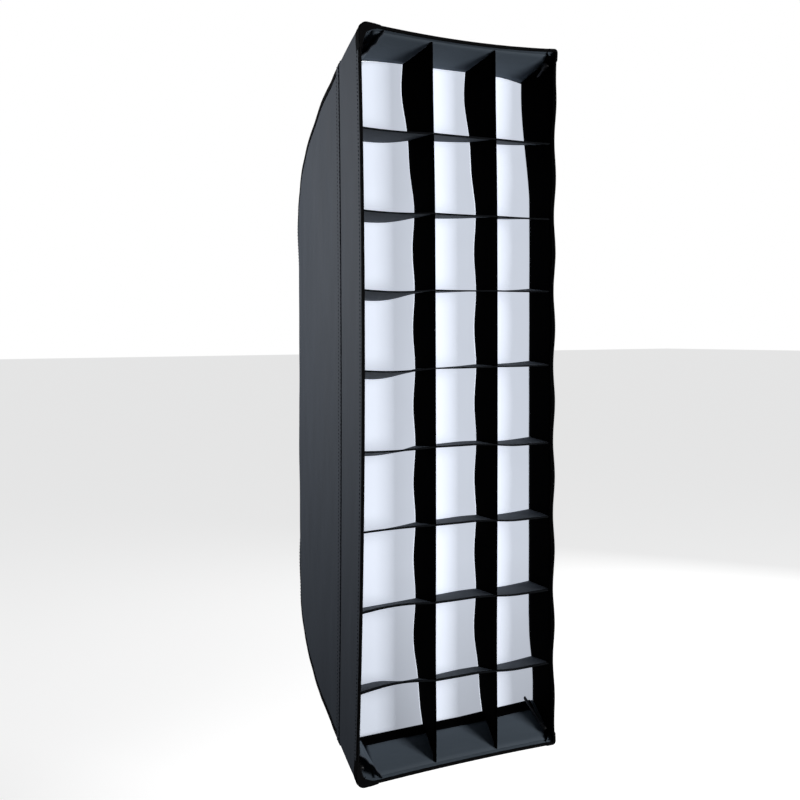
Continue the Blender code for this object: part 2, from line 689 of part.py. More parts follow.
def main():
    for thing in list(bpy.data.objects):
        bpy.data.objects.remove(thing, do_unlink=True)
    box = add_pivot("softbox_turns_here", RING_MIDDLE)
    lock = add_pivot("lock_turns_here", RING_MIDDLE + Vector((BORE_RADIUS, 0, 0)))
    diffuser = add_pivot("diffuser_slides_here", Vector((0, behind_front(RECESS_DEPTH), 0)))
    grid = add_pivot("grid_slides_here", Vector((0, FRONT_PLANE, 0)))
    baffle = add_pivot("baffle_slides_here", Vector((0, behind_front(BAFFLE_BEHIND_FRONT), 0)))
    make_insert()
    make_speed_ring(box)
    make_lock(lock)
    make_rods(box)
    make_skin(box)
    make_collar(box)
    make_binding(box)
    make_recess_tape(box)
    make_corner_pockets(box)
    make_baffle(baffle)
    make_diffuser(diffuser)
    make_grid(grid)


main()
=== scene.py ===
"""Looks of the strip softbox: sewn cloth, webbing, metal and the studio around them.

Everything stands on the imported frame, in metres: +Z runs along the long side of the box, the
light leaves towards -Y, and the lamp's seat is at the origin.
"""

import json
import math

import bmesh
import bpy
import numpy as np
from mathutils import Matrix, Vector, noise


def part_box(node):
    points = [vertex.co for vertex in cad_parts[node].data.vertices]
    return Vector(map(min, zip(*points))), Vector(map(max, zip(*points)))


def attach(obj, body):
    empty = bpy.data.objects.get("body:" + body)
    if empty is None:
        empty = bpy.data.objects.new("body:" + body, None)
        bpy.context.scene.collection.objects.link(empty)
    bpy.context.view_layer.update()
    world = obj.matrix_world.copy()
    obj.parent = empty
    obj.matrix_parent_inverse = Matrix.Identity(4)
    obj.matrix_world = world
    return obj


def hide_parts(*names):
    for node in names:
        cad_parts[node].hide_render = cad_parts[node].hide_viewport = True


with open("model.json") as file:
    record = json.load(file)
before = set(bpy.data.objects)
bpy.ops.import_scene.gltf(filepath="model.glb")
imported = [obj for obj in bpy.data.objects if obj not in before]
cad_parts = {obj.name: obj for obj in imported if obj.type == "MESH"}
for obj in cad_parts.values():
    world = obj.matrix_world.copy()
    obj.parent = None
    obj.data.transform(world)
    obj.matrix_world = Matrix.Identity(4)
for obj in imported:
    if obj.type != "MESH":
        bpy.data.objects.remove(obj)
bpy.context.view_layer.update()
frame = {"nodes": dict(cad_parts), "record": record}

bl_info = {
    "name": "Strip softbox",
    "version": (1, 0, 0),
    "blender": (4, 5, 0),
    "location": "View3D > Sidebar > Softbox",
    "description": "Builds the cloth, webbing and metal of a strip softbox round its packed frame",
    "category": "Object",
}


# ---------------------------------------------------------------- what the frame says

def linear(hex_colour):
    """An sRGB hex colour as linear red, green and blue."""
    values = []
    for start in (0, 2, 4):
        value = int(hex_colour[start:start + 2], 16) / 255
        values.append(value / 12.92 if value <= 0.04045 else ((value + 0.055) / 1.055) ** 2.4)
    return tuple(values)


def wall_stations():
    """Depth behind the front, half width and half height of the box at each bend of its top wall."""
    stations = {}
    for node in ("front_lip_top", "skin_panel_top"):
        for vert in frame["nodes"][node].data.vertices:
            depth = round(vert.co.y - FRONT_Y, 5)
            width, height = stations.get(depth, (0.0, 0.0))
            stations[depth] = (max(width, abs(vert.co.x)), max(height, vert.co.z))
    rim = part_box("front_edge_binding")[1]
    stations[0.0] = (rim.x, rim.z)
    return np.array([(depth, *stations[depth]) for depth in sorted(stations)])


FRONT_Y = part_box("front_edge_binding")[0].y
WALL = wall_stations()
WALL_SLOPES = np.stack([np.gradient(WALL[:, column], WALL[:, 0]) for column in (1, 2)], axis=1)
DEPTH = float(WALL[-1, 0])
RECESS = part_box("front_diffuser")[0].y - FRONT_Y
UPRIGHTS = sorted(sum(corner.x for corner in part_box(f"grid_upright_{number}")) / 2 for number in (1, 2))
LEVELS = sorted(sum(corner.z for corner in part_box(f"grid_level_{number}")) / 2 for number in range(1, 9))
ROW_PITCH = LEVELS[1] - LEVELS[0]

CORNERS = {"top_left": (-1, 1), "top_right": (1, 1), "bottom_left": (-1, -1), "bottom_right": (1, -1)}
BODY = {node: body for body, nodes in frame["record"]["behaviour"]["bodies"].items() for node in nodes}

# Cloth and how it hangs
CLOTH = 0.0011
WEBBING = 0.0012
WALL_CORNER = 0.006
LEFT_PINCH = 0.0075
RIGHT_PINCH = 0.0015
RIGHT_SCALLOP = 0.0030
TOP_PINCH = 0.0060
BOTTOM_PINCH = 0.0025
PINCH_FADE = 0.060
RIGHT_FADE = 0.018
TOP_LIFT = 0.013
GRID_TWIST = math.radians(1.9)
RIGHT_CORNER_SHARE = 0.45
LEFT_LEAN = 0.0045
LEAN_FADE = 0.10
END_PULL = 0.015
FOOT_PULL = 0.014
FOOT_BULGE = 0.007


def wall_at(depth):
    """Half width and half height of the box, on a smooth curve through the frame's stations."""
    depth = min(max(depth, 0.0), DEPTH)
    index = int(np.clip(np.searchsorted(WALL[:, 0], depth) - 1, 0, len(WALL) - 2))
    span = WALL[index + 1, 0] - WALL[index, 0]
    t = (depth - WALL[index, 0]) / span
    low, high = WALL[index, 1:], WALL[index + 1, 1:]
    slope_low, slope_high = WALL_SLOPES[index] * span, WALL_SLOPES[index + 1] * span
    ease = 3 * t * t - 2 * t**3
    sizes = low + (high - low) * ease + slope_low * (t - 2 * t * t + t**3) + slope_high * (t**3 - t * t)
    return float(sizes[0]), float(sizes[1])


def hump(depth, rise, fall):
    """0 at the front, 1 at the recess seam, 0 again further back."""
    if depth <= RECESS:
        return (depth / RECESS) ** rise
    return math.exp(-((depth - RECESS) / fall) ** 2)


def corner_radius(depth):
    front = WALL_CORNER * math.exp(-depth / 0.02)
    back = 0.008 * (depth / DEPTH) ** 6
    return WALL_CORNER + front + back


def rim_stations(long_steps, short_steps, corner_steps):
    """Places round a rounded rectangle: its corner centre's signs and the way it faces."""
    stations = []
    sides = (((1, -1), (1, 1), 0, long_steps), ((1, 1), (-1, 1), 90, short_steps),
             ((-1, 1), (-1, -1), 180, long_steps), ((-1, -1), (1, -1), 270, short_steps))
    for start, end, facing, steps in sides:
        for step in range(steps):
            t = step / steps
            stations.append((start[0] + (end[0] - start[0]) * t, start[1] + (end[1] - start[1]) * t,
                             math.radians(facing)))
        for step in range(corner_steps):
            stations.append((*end, math.radians(facing + 90 * step / corner_steps)))
    stations.append(stations[0][:2] + (math.tau,))
    return stations


def slack(x, z, depth, half_x, half_z):
    """How far each wall is drawn in by the thread and the grid sewn to it, as (x, z)."""
    fade = math.exp(-depth / PINCH_FADE)
    along_z = max(1 - (z / half_z) ** 2, 0.0)
    along_x = max(1 - (x / half_x) ** 2, 0.0)
    if x < 0:
        draw_x = LEFT_PINCH * along_z * fade
    else:
        between = math.cos(math.pi * (z - LEVELS[0]) / ROW_PITCH) ** 2
        draw_x = (RIGHT_PINCH * along_z + RIGHT_SCALLOP * between * min(along_z * 3, 1))
        draw_x *= math.exp(-depth / RIGHT_FADE)
    draw_z = (TOP_PINCH if z > 0 else BOTTOM_PINCH) * along_x * fade
    return draw_x, draw_z


def eased(value):
    """0 below 0 and 1 above 1, smooth between."""
    value = min(max(value, 0.0), 1.0)
    return value * value * (3 - 2 * value)


def shell_bulge(x, z, depth):
    """The right wall is pushed out near its foot, where the recess is sewn in askew."""
    return FOOT_BULGE * hump(depth, 1.0, 0.05) * eased((-0.28 - z) / 0.10) * eased(x / 0.1)


def wall_point(station, depth, inset=0.0):
    """A point on the wall of the box, this far inside its outer face."""
    side_x, side_z, facing = station
    half_x, half_z = wall_at(depth)
    radius = max(corner_radius(depth) * (RIGHT_CORNER_SHARE if side_x > 0 else 1.0) - inset, 0.0008)
    out_x, out_z = math.cos(facing), math.sin(facing)
    x = side_x * (half_x - inset - radius) + radius * out_x
    z = side_z * (half_z - inset - radius) + radius * out_z
    draw_x, draw_z = slack(x, z, depth, half_x, half_z)
    crown = 1 - min(abs(x / half_x), 1.0) ** 4
    lift = TOP_LIFT * hump(depth, 1.3, 0.05) * min(max(z / half_z, 0.0), 1.0) ** 4 * crown
    bulge = shell_bulge(x, z, depth)
    lean = LEFT_LEAN * z / half_z * (0.5 - 0.5 * x / half_x) * math.exp(-depth / LEAN_FADE)
    return Vector((x - draw_x * out_x + bulge + lean, FRONT_Y + depth, z - draw_z * out_z + lift))


def grid_shift(x, z, depth):
    """How the back of the grid sits against its front, as (x, z): askew at the ends, turned across."""
    share = depth / RECESS
    pull = FOOT_PULL * eased((-0.30 - z) / 0.12) - END_PULL * eased((z - 0.24) / 0.16)
    return pull * share, x * math.sin(GRID_TWIST) * share


# ---------------------------------------------------------------- materials

def add_node(tree, kind, inputs, **settings):
    """Adds a node, sets its fields, and fills or links its inputs."""
    node = tree.nodes.new(kind)
    for field, value in settings.items():
        setattr(node, field, value)
    for socket, value in inputs.items():
        if isinstance(value, bpy.types.NodeSocket):
            tree.links.new(value, node.inputs[socket])
        else:
            node.inputs[socket].default_value = value
    return node


def start_material(name, roughness, metallic=0.0, ior=1.5):
    material = bpy.data.materials.new(name)
    material.use_nodes = True
    shader = material.node_tree.nodes["Principled BSDF"]
    shader.inputs["Roughness"].default_value = roughness
    shader.inputs["Metallic"].default_value = metallic
    shader.inputs["IOR"].default_value = ior
    return material, material.node_tree, shader


def vary_colour(tree, shader, where, first, second, size, detail=3.0):
    """Two shades of one colour in patches of about this size in metres."""
    patches = add_node(tree, "ShaderNodeTexNoise", {"Vector": where, "Scale": 1 / size, "Detail": detail})
    mixed = add_node(tree, "ShaderNodeMix", data_type="RGBA",
                     inputs={"Factor": patches.outputs["Fac"], 6: (*first, 1), 7: (*second, 1)})
    tree.links.new(mixed.outputs[2], shader.inputs["Base Color"])
    return mixed.outputs[2]


def thread_bands(tree, where, pitch, direction):
    """Rounded threads this far apart, side by side along one direction of the cloth."""
    bands = add_node(tree, "ShaderNodeTexWave", {"Vector": where, "Scale": math.tau / (20 * pitch)},
                     bands_direction=direction)
    return bands.outputs["Fac"]


def add_bump(tree, shader, height, distance, strength, below=None):
    inputs = {"Height": height, "Distance": distance, "Strength": strength}
    if below is not None:
        inputs["Normal"] = below
    bump = add_node(tree, "ShaderNodeBump", inputs)
    tree.links.new(bump.outputs["Normal"], shader.inputs["Normal"])
    return bump.outputs["Normal"]


def woven_nylon(name, first, second, roughness, sheen=0.0, pitch=0.0011, crease=0.0012, gloss=0.25):
    """Coated nylon, plain weave: a dull sheen, fine threads and soft handling creases.

    The real threads lie about 0.3 mm apart; they are drawn near 1 mm so that they show.
    """
    material, tree, shader = start_material(name, roughness, ior=1.53)
    cloth = add_node(tree, "ShaderNodeUVMap", {}, uv_map="weave").outputs["UV"]
    warp = thread_bands(tree, cloth, pitch, "X")
    weft = thread_bands(tree, cloth, pitch, "Y")
    woven = add_node(tree, "ShaderNodeMath", {0: warp, 1: weft}, operation="MULTIPLY")
    stretched = add_node(tree, "ShaderNodeMapping", {"Vector": cloth, "Scale": (9.0, 60.0, 1.0)})
    vary_colour(tree, shader, stretched.outputs["Vector"], first, second, 1.0)
    creases = add_node(tree, "ShaderNodeTexNoise", {"Vector": stretched.outputs["Vector"], "Scale": 1.0,
                                                     "Detail": 4.0, "Distortion": 0.6})
    folds = add_bump(tree, shader, creases.outputs["Fac"], crease, 0.6)
    add_bump(tree, shader, woven.outputs["Value"], 0.0001, 0.5, folds)
    shader.inputs["Sheen Weight"].default_value = sheen
    shader.inputs["Sheen Roughness"].default_value = 0.5
    shader.inputs["Specular IOR Level"].default_value = gloss
    return material


def silver_lining():
    """Aluminised cloth: bright, broken up by its weave and small crinkles."""
    material, tree, shader = start_material("silver_coated_lining", 0.38, metallic=0.85)
    cloth = add_node(tree, "ShaderNodeUVMap", {}, uv_map="weave").outputs["UV"]
    vary_colour(tree, shader, cloth, linear("b9bcc0"), linear("d7d9db"), 0.020)
    crinkle = add_node(tree, "ShaderNodeTexVoronoi", {"Vector": cloth, "Scale": 1 / 0.012})
    folds = add_bump(tree, shader, crinkle.outputs["Distance"], 0.0008, 0.5)
    add_bump(tree, shader, thread_bands(tree, cloth, 0.0012, "X"), 0.0001, 0.4, folds)
    return material


def diffusion_cloth(first, second, glow):
    """White translucent nylon, plain weave: soft and even, a little blue where it is in shade.

    Its emission is painted light: a faint glow painted on the cloth, weaker at the foot and on the left.
    """
    material, tree, shader = start_material("white_diffusion_nylon", 0.85)
    cloth = add_node(tree, "ShaderNodeUVMap", {}, uv_map="weave").outputs["UV"]
    shade = vary_colour(tree, shader, cloth, first, second, 0.060, 2.0)
    warp = thread_bands(tree, cloth, 0.0014, "X")
    weft = thread_bands(tree, cloth, 0.0014, "Y")
    woven = add_node(tree, "ShaderNodeMath", {0: warp, 1: weft}, operation="MULTIPLY")
    soft = add_node(tree, "ShaderNodeTexNoise", {"Vector": cloth, "Scale": 1 / 0.035, "Detail": 2.0})
    folds = add_bump(tree, shader, soft.outputs["Fac"], 0.0010, 0.35)
    add_bump(tree, shader, woven.outputs["Value"], 0.0001, 0.35, folds)
    # Painted light: the cloth glows by itself, in its own two shades.
    tree.links.new(shade, shader.inputs["Emission Color"])
    place = add_node(tree, "ShaderNodeSeparateXYZ",
                     {"Vector": add_node(tree, "ShaderNodeTexCoord", {}).outputs["Object"]})
    # Painted light: the glow is set by place on the cloth, weaker across the left part and towards the foot.
    across = add_node(tree, "ShaderNodeMapRange", {"Value": place.outputs["X"], "From Min": -0.09,
                                                   "From Max": -0.03, "To Min": 0.0, "To Max": 0.18})
    upward = add_node(tree, "ShaderNodeMapRange", {"Value": place.outputs["Z"], "From Min": -0.43,
                                                   "From Max": -0.20, "To Min": glow * 0.55, "To Max": glow})
    both = add_node(tree, "ShaderNodeMath", {0: across.outputs["Result"], 1: upward.outputs["Result"]},
                    operation="ADD")
    tree.links.new(both.outputs["Value"], shader.inputs["Emission Strength"])
    shader.inputs["Specular IOR Level"].default_value = 0.2
    return material


def ribbed_webbing(name, first, second, pitch=0.0016):
    """Woven polyester tape: dull, with ribs across its width."""
    material, tree, shader = start_material(name, 0.86, ior=1.54)
    cloth = add_node(tree, "ShaderNodeUVMap", {}, uv_map="weave").outputs["UV"]
    vary_colour(tree, shader, cloth, first, second, 0.008)
    ribs = thread_bands(tree, cloth, pitch, "X")
    threads = thread_bands(tree, cloth, pitch * 0.7, "Y")
    height = add_node(tree, "ShaderNodeMath", {0: ribs, 1: threads}, operation="MULTIPLY")
    add_bump(tree, shader, height.outputs["Value"], 0.00025, 0.7)
    shader.inputs["Specular IOR Level"].default_value = 0.08
    return material


def hook_and_loop():
    """Hook-and-loop tape: a black nap of tiny loops that swallows light."""
    material, tree, shader = start_material("looped_nylon_tape", 0.95)
    cloth = add_node(tree, "ShaderNodeUVMap", {}, uv_map="weave").outputs["UV"]
    vary_colour(tree, shader, cloth, linear("0b0b0d"), linear("1b1b1e"), 0.003)
    loops = add_node(tree, "ShaderNodeTexVoronoi", {"Vector": cloth, "Scale": 1 / 0.0014})
    add_bump(tree, shader, loops.outputs["Distance"], 0.0006, 0.9)
    shader.inputs["Sheen Weight"].default_value = 0.15
    return material


def powder_coat():
    """Die-cast aluminium, black powder coat: satin with a fine orange-peel texture."""
    material, tree, shader = start_material("powder_coated_aluminium", 0.46, ior=1.5)
    place = add_node(tree, "ShaderNodeTexCoord", {}).outputs["Object"]
    vary_colour(tree, shader, place, linear("17181a"), linear("222427"), 0.010)
    peel = add_node(tree, "ShaderNodeTexNoise", {"Vector": place, "Scale": 1 / 0.0009, "Detail": 2.0})
    add_bump(tree, shader, peel.outputs["Fac"], 0.0002, 0.35)
    shader.inputs["Coat Weight"].default_value = 0.15
    shader.inputs["Coat Roughness"].default_value = 0.4
    return material


def turned_metal(name, first, second, roughness, pitch=0.0009):
    """Metal turned on a lathe and plated: bright, with fine rings and dulled patches."""
    material, tree, shader = start_material(name, roughness, metallic=1.0)
    place = add_node(tree, "ShaderNodeTexCoord", {}).outputs["Object"]
    vary_colour(tree, shader, place, first, second, 0.008)
    rings = add_node(tree, "ShaderNodeTexWave", {"Vector": place, "Scale": math.tau / (20 * pitch)},
                     wave_type="RINGS", rings_direction="Y")
    add_bump(tree, shader, rings.outputs["Fac"], 0.00005, 0.25)
    dull = add_node(tree, "ShaderNodeTexNoise", {"Vector": place, "Scale": 1 / 0.014, "Detail": 5.0})
    spread = add_node(tree, "ShaderNodeMapRange", {"Value": dull.outputs["Fac"], "To Min": roughness * 0.8,
                                                    "To Max": roughness * 1.5})
    tree.links.new(spread.outputs["Result"], shader.inputs["Roughness"])
    return material


def spring_rod():
    """Drawn spring steel, oiled black: smooth, with long faint drawing lines."""
    material, tree, shader = start_material("black_oiled_spring_steel", 0.34, metallic=0.8)
    place = add_node(tree, "ShaderNodeTexCoord", {}).outputs["Object"]
    vary_colour(tree, shader, place, linear("2c2d2f"), linear("45464a"), 0.012)
    lines = add_node(tree, "ShaderNodeTexNoise", {"Vector": place, "Scale": 1 / 0.001, "Detail": 2.0})
    add_bump(tree, shader, lines.outputs["Fac"], 0.00005, 0.3)
    return material


def moulded_plastic():
    """Injection-moulded nylon, spark-eroded finish: black and matt with a fine grain."""
    material, tree, shader = start_material("moulded_black_nylon", 0.52, ior=1.53)
    place = add_node(tree, "ShaderNodeTexCoord", {}).outputs["Object"]
    vary_colour(tree, shader, place, linear("101113"), linear("191a1d"), 0.006)
    grain = add_node(tree, "ShaderNodeTexNoise", {"Vector": place, "Scale": 1 / 0.0007, "Detail": 3.0})
    add_bump(tree, shader, grain.outputs["Fac"], 0.00015, 0.4)
    return material


MATERIALS = {}


def shaded(colour, share):
    """The same colour, this share as light."""
    return tuple(c * share for c in colour)


def make_materials(colours):
    """One material for each finish, made once and shared by the pieces."""
    MATERIALS.update({
        "shell": woven_nylon("slate_coated_nylon", shaded(colours.shell, 0.70), shaded(colours.shell, 0.98),
                             0.70),
        # Painted light: the recess cloth is the shell's nylon made lighter, for the light inside the recess.
        "recess": woven_nylon("painted_light_recess_nylon", tuple(colours.recess), shaded(colours.recess, 1.2),
                              0.78, crease=0.0016),
        "level": woven_nylon("slate_grid_nylon", tuple(colours.level), shaded(colours.level, 1.15), 0.8),
        # Painted shade: the grid's slate nylon made near black and all but glossless, where its faces lie in
        # shade.
        "upright": woven_nylon("painted_shade_grid_nylon", linear("010101"), linear("030304"), 1.0, gloss=0.02),
        "hem": woven_nylon("folded_black_nylon", linear("111315"), linear("1b1d21"), 0.95, gloss=0.05),
        "lining": silver_lining(),
        # Painted light: 0.60 is the strength of the diffuser cloth's painted glow.
        "diffuser": diffusion_cloth(tuple(colours.diffuser), tuple(c * 0.94 for c in colours.diffuser), 0.60),
        "webbing": ribbed_webbing("black_polyester_webbing", linear("060607"), linear("0d0d0f")),
        "elastic": ribbed_webbing("black_elastic_webbing", linear("131315"), linear("1f1f22"), 0.0012),
        "thread": ribbed_webbing("black_bonded_thread", linear("1d2025"), linear("2d3138"), 0.0006),
        "loop": hook_and_loop(),
        "casting": powder_coat(),
        "zinc": turned_metal("zinc_plated_steel", linear("a9adb0"), linear("c6c8ca"), 0.30),
        "anodised": turned_metal("black_anodised_aluminium", linear("26272a"), linear("34363a"), 0.42),
        "rod": spring_rod(),
        "plastic": moulded_plastic(),
    })


# ---------------------------------------------------------------- making pieces

def add_piece(name, shape, materials, body, replaced=()):
    """Makes an object of a bmesh whose points are already in their places."""
    mesh = bpy.data.meshes.new(name)
    shape.to_mesh(mesh)
    shape.free()
    mesh.shade_smooth()
    for material in materials:
        mesh.materials.append(MATERIALS[material])
    piece = bpy.data.objects.new(name, mesh)
    bpy.context.scene.collection.objects.link(piece)
    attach(piece, body)
    if replaced:
        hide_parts(*replaced)
    return piece


def thicken(piece, thickness, offset=-1.0, inner=0, edge=0):
    solid = piece.modifiers.new("thickness", "SOLIDIFY")
    solid.thickness = thickness
    solid.offset = offset
    solid.use_even_offset = False
    solid.material_offset = inner
    solid.material_offset_rim = edge


def cloth_grid(steps, place, pattern, closed=False):
    """A flat grid of cloth carried to its place, with a UV map of the same cloth in metres."""
    shape = bmesh.new()
    weave = shape.loops.layers.uv.new("weave")
    bmesh.ops.create_grid(shape, x_segments=steps[0], y_segments=steps[1], size=0.5, calc_uvs=True)
    for face in shape.faces:
        middle = face.calc_center_median()
        for loop in face.loops:
            flat = loop.vert.co
            loop[weave].uv = pattern(flat.x + 0.5, flat.y + 0.5, middle.x + 0.5)
    for vert in shape.verts:
        vert.co = place(vert.co.x + 0.5, vert.co.y + 0.5)
    if closed:
        bmesh.ops.remove_doubles(shape, verts=shape.verts, dist=1e-6)
    shape.normal_update()
    return shape


def face_outwards(shape, centre):
    """Turns the faces so that they look away from a point inside."""
    total = sum(face.normal.dot(face.calc_center_median() - centre) for face in shape.faces)
    if total < 0:
        bmesh.ops.reverse_faces(shape, faces=shape.faces)


def flat_pattern(width, length):
    return lambda u, v, _middle: (u * width, v * length)


def wall_pattern(stations, depths):
    """Cloth coordinates on a loft: straight up the side walls, straight across the end walls."""
    run = [0.0]
    for first, second in zip(depths, depths[1:]):
        a, b = wall_at(first), wall_at(second)
        run.append(run[-1] + math.hypot(second - first, b[0] - a[0], b[1] - a[1]))
    count = len(stations) - 1

    def pattern(u, v, middle):
        index = round(u * count)
        row = round(v * (len(depths) - 1))
        facing = math.degrees(stations[int(middle * count)][2]) % 180
        point = wall_point(stations[index], depths[row])
        along = point.x if 45 <= facing < 135 else point.z
        return along, run[row]
    return pattern


def loft(stations, depths, inset, wrinkle=0.0):
    """A closed band of cloth round the box between two depths."""
    count = len(stations) - 1

    def place(u, v):
        station = stations[round(u * count)]
        depth = depths[round(v * (len(depths) - 1))]
        point = wall_point(station, depth, inset)
        if wrinkle:
            point += wrinkles(point, station[2], depth) * wrinkle
        return point
    shape = cloth_grid((count, len(depths) - 1), place, wall_pattern(stations, depths), closed=True)
    face_outwards(shape, Vector((0, FRONT_Y + sum(depths) / len(depths), 0)))
    return shape


def wrinkles(point, facing, depth):
    """Soft tension folds of the wall cloth, none at its sewn edges, as a move along its normal."""
    edge = min(max((depth - RECESS) / 0.02, 0.0), 1.0) * min(max((DEPTH - depth) / 0.03, 0.0), 1.0)
    if abs(math.cos(facing)) > 0.7:
        spot = Vector((point.z * 7, point.y * 38, 4.0 if point.x < 0 else 9.0))
    else:
        spot = Vector((point.x * 14, point.y * 32, 15.0 if point.z > 0 else 21.0))
    height = noise.noise(spot) + 0.5 * noise.noise(spot * 2.3)
    return Vector((math.cos(facing), 0.0, math.sin(facing))) * height * edge


def perimeter(depth):
    half_x, half_z = wall_at(depth)
    return 4 * (half_x + half_z)


def spaced(points, gap):
    """Even places along a path, each with the way the path runs there."""
    found = []
    left = gap / 2
    for start, end in zip(points, points[1:]):
        span = (end - start).length
        while left <= span and span > 0:
            found.append((start.lerp(end, left / span), (end - start).normalized()))
            left += gap
        left -= span
    return found


def sew(shape, points, out, gap, length=0.0026, width=0.0005):
    """Rows of stitches: one small flattened bead of thread for each."""
    bead = bmesh.new()
    bmesh.ops.create_uvsphere(bead, u_segments=6, v_segments=4, radius=1.0)
    thread = bpy.data.meshes.new("stitch")
    bead.to_mesh(thread)
    bead.free()
    for place, along in spaced(points, gap):
        up = out(place)
        side = along.cross(up).normalized()
        up = side.cross(along)
        turn = Matrix((along * length / 2, side * width, up * width * 0.8)).transposed().to_4x4()
        stitch = thread.copy()
        stitch.transform(Matrix.Translation(place) @ turn)
        shape.from_mesh(stitch)
        bpy.data.meshes.remove(stitch)
    bpy.data.meshes.remove(thread)


def tube_round(points, radii, sides, closed):
    """A round bar along a path, its circles joined one after another."""
    shape = bmesh.new()
    rings = []
    count = len(points)
    for index, point in enumerate(points):
        after = points[(index + 1) % count] if closed else points[min(index + 1, count - 1)]
        before = points[index - 1] if closed or index else points[0]
        turn = Vector((0, 0, 1)).rotation_difference((after - before).normalized()).to_matrix().to_4x4()
        ring = bmesh.ops.create_circle(shape, segments=sides, radius=radii[index],
                                       matrix=Matrix.Translation(point) @ turn, cap_ends=False)
        rings.append(ring["verts"])
    pairs = list(zip(rings, rings[1:])) + ([(rings[-1], rings[0])] if closed else [])
    for first, second in pairs:
        edges = [edge for ring in (first, second) for edge in {e for v in ring for e in v.link_edges}
                 if edge.verts[0] in ring and edge.verts[1] in ring]
        bmesh.ops.bridge_loops(shape, edges=edges)
    if not closed:
        for ring in (rings[0], rings[-1]):
            bmesh.ops.contextual_create(shape, geom=ring)
    bmesh.ops.recalc_face_normals(shape, faces=shape.faces)
    return shape


def softened_copy(node, name, material, bevel=0.0005):
    """A merged copy of a CAD node with its flat facets joined and its edges rounded."""
    shape = bmesh.new()
    shape.from_mesh(frame["nodes"][node].data)
    bmesh.ops.remove_doubles(shape, verts=shape.verts, dist=1e-5)
    bmesh.ops.dissolve_limit(shape, angle_limit=math.radians(1), verts=shape.verts, edges=shape.edges)
    piece = add_piece(name, shape, (material,), BODY[node], (node,))
    rounded = piece.modifiers.new("rounded edges", "BEVEL")
    rounded.width = bevel
    rounded.segments = 2
    rounded.limit_method = "ANGLE"
    rounded.angle_limit = math.radians(40)
    piece.data.set_sharp_from_angle(angle=math.radians(50))
    return piece


# ---------------------------------------------------------------- settings

class StripSoftboxSizes(bpy.types.PropertyGroup):
    piping: bpy.props.FloatProperty(name="Rim binding", description="Half thickness of the binding round the rim",
                                    default=0.0021, min=0.001, max=0.004, unit="LENGTH")
    fold: bpy.props.FloatProperty(name="Fold height", description="Height of the wall cloth's soft folds",
                                  default=0.0011, min=0.0, max=0.004, unit="LENGTH")
    stitch: bpy.props.FloatProperty(name="Stitch pitch", description="Distance from one stitch to the next",
                                    default=0.0045, min=0.003, max=0.01, unit="LENGTH")
    sag: bpy.props.FloatProperty(name="Grid sag", description="How far the grid's level strips hang down",
                                 default=0.0045, min=0.0, max=0.01, unit="LENGTH")


class StripSoftboxColours(bpy.types.PropertyGroup):
    shell: bpy.props.FloatVectorProperty(name="Shell", description="Outer cloth", subtype="COLOR",
                                         default=linear("3f454e"), min=0.0, max=1.0)
    # Painted light: the recess colour is the shell's nylon made lighter.
    recess: bpy.props.FloatVectorProperty(name="Recess", description="Cloth inside the front recess",
                                          subtype="COLOR", default=linear("4c5660"), min=0.0, max=1.0)
    level: bpy.props.FloatVectorProperty(name="Level strips", description="Grid strips that run across",
                                         subtype="COLOR", default=linear("434950"), min=0.0, max=1.0)
    diffuser: bpy.props.FloatVectorProperty(name="Diffuser", description="White cloth", subtype="COLOR",
                                            default=linear("e2e9f6"), min=0.0, max=1.0)


def sizes():
    return bpy.context.scene.strip_softbox_sizes


# ---------------------------------------------------------------- operators

class MakeFinishes(bpy.types.Operator):
    """Make the materials that every piece shares"""
    bl_idname = "strip_softbox.finishes"
    bl_label = "Finishes"

    def execute(self, context):
        make_materials(context.scene.strip_softbox_colours)
        return {"FINISHED"}


class MakeShell(bpy.types.Operator):
    """Sew the four wall panels into one shell, lined with silver cloth"""
    bl_idname = "strip_softbox.shell"
    bl_label = "Wall panels"

    def execute(self, context):
        stations = rim_stations(130, 50, 5)
        near = RECESS + 0.0002
        depths = [near + (DEPTH - near) * step / 54 for step in range(55)]
        shape = loft(stations, depths, 0.0, sizes().fold)
        replaced = ["skin_panel_" + side for side in ("left", "right", "top", "bottom")]
        shell = add_piece("wall_panels", shape, ("shell", "lining"), "softbox", replaced)
        thicken(shell, CLOTH, inner=1)
        length = math.hypot(DEPTH - near, (wall_at(near)[1] - wall_at(DEPTH)[1]))
        perimeter(near)
        0.62 * perimeter(near) * length
        return {"FINISHED"}


class MakeRecess(bpy.types.Operator):
    """Make the cloth band between the rim and the seam that holds the diffuser"""
    bl_idname = "strip_softbox.recess"
    bl_label = "Recess band"

    def execute(self, context):
        stations = rim_stations(144, 50, 5)
        start = 0.0012
        depths = [start + (RECESS - start) * step / 16 for step in range(17)]
        shape = loft(stations, depths, 0.0)
        replaced = ["front_lip_" + side for side in ("left", "right", "top", "bottom")]
        # Inside the band the lighter recess cloth is painted light.
        band = add_piece("recess_band", shape, ("shell", "recess", "upright"), "softbox", replaced)
        thicken(band, CLOTH, inner=1)
        perimeter(0)
        0.85 * perimeter(0) * 0.062
        self.paint_right_wall_shade()
        return {"FINISHED"}

    def paint_right_wall_shade(self):
        """A near-black strip lining the inside of the right wall, where the grid's right border is pressed on:
        painted shade on that face.
        """
        stations = [(1, -0.985 + 1.97 * step / 90, 0.0) for step in range(91)]
        depths = [0.004 + (RECESS - 0.0055) * step / 8 for step in range(9)]

        def place(u, v):
            depth = depths[round(v * 8)]
            return wall_point(stations[round(u * 90)], depth, CLOTH + 0.0002)
        shape = cloth_grid((90, 8), place, flat_pattern(0.86, 0.045))
        face_outwards(shape, Vector((0, FRONT_Y, 0)))
        # Painted shade: the strip darkens the right wall's inner face.
        strip = add_piece("recess_painted_shade_strip_right", shape, ("upright",), "softbox", ())
        thicken(strip, 0.0006)


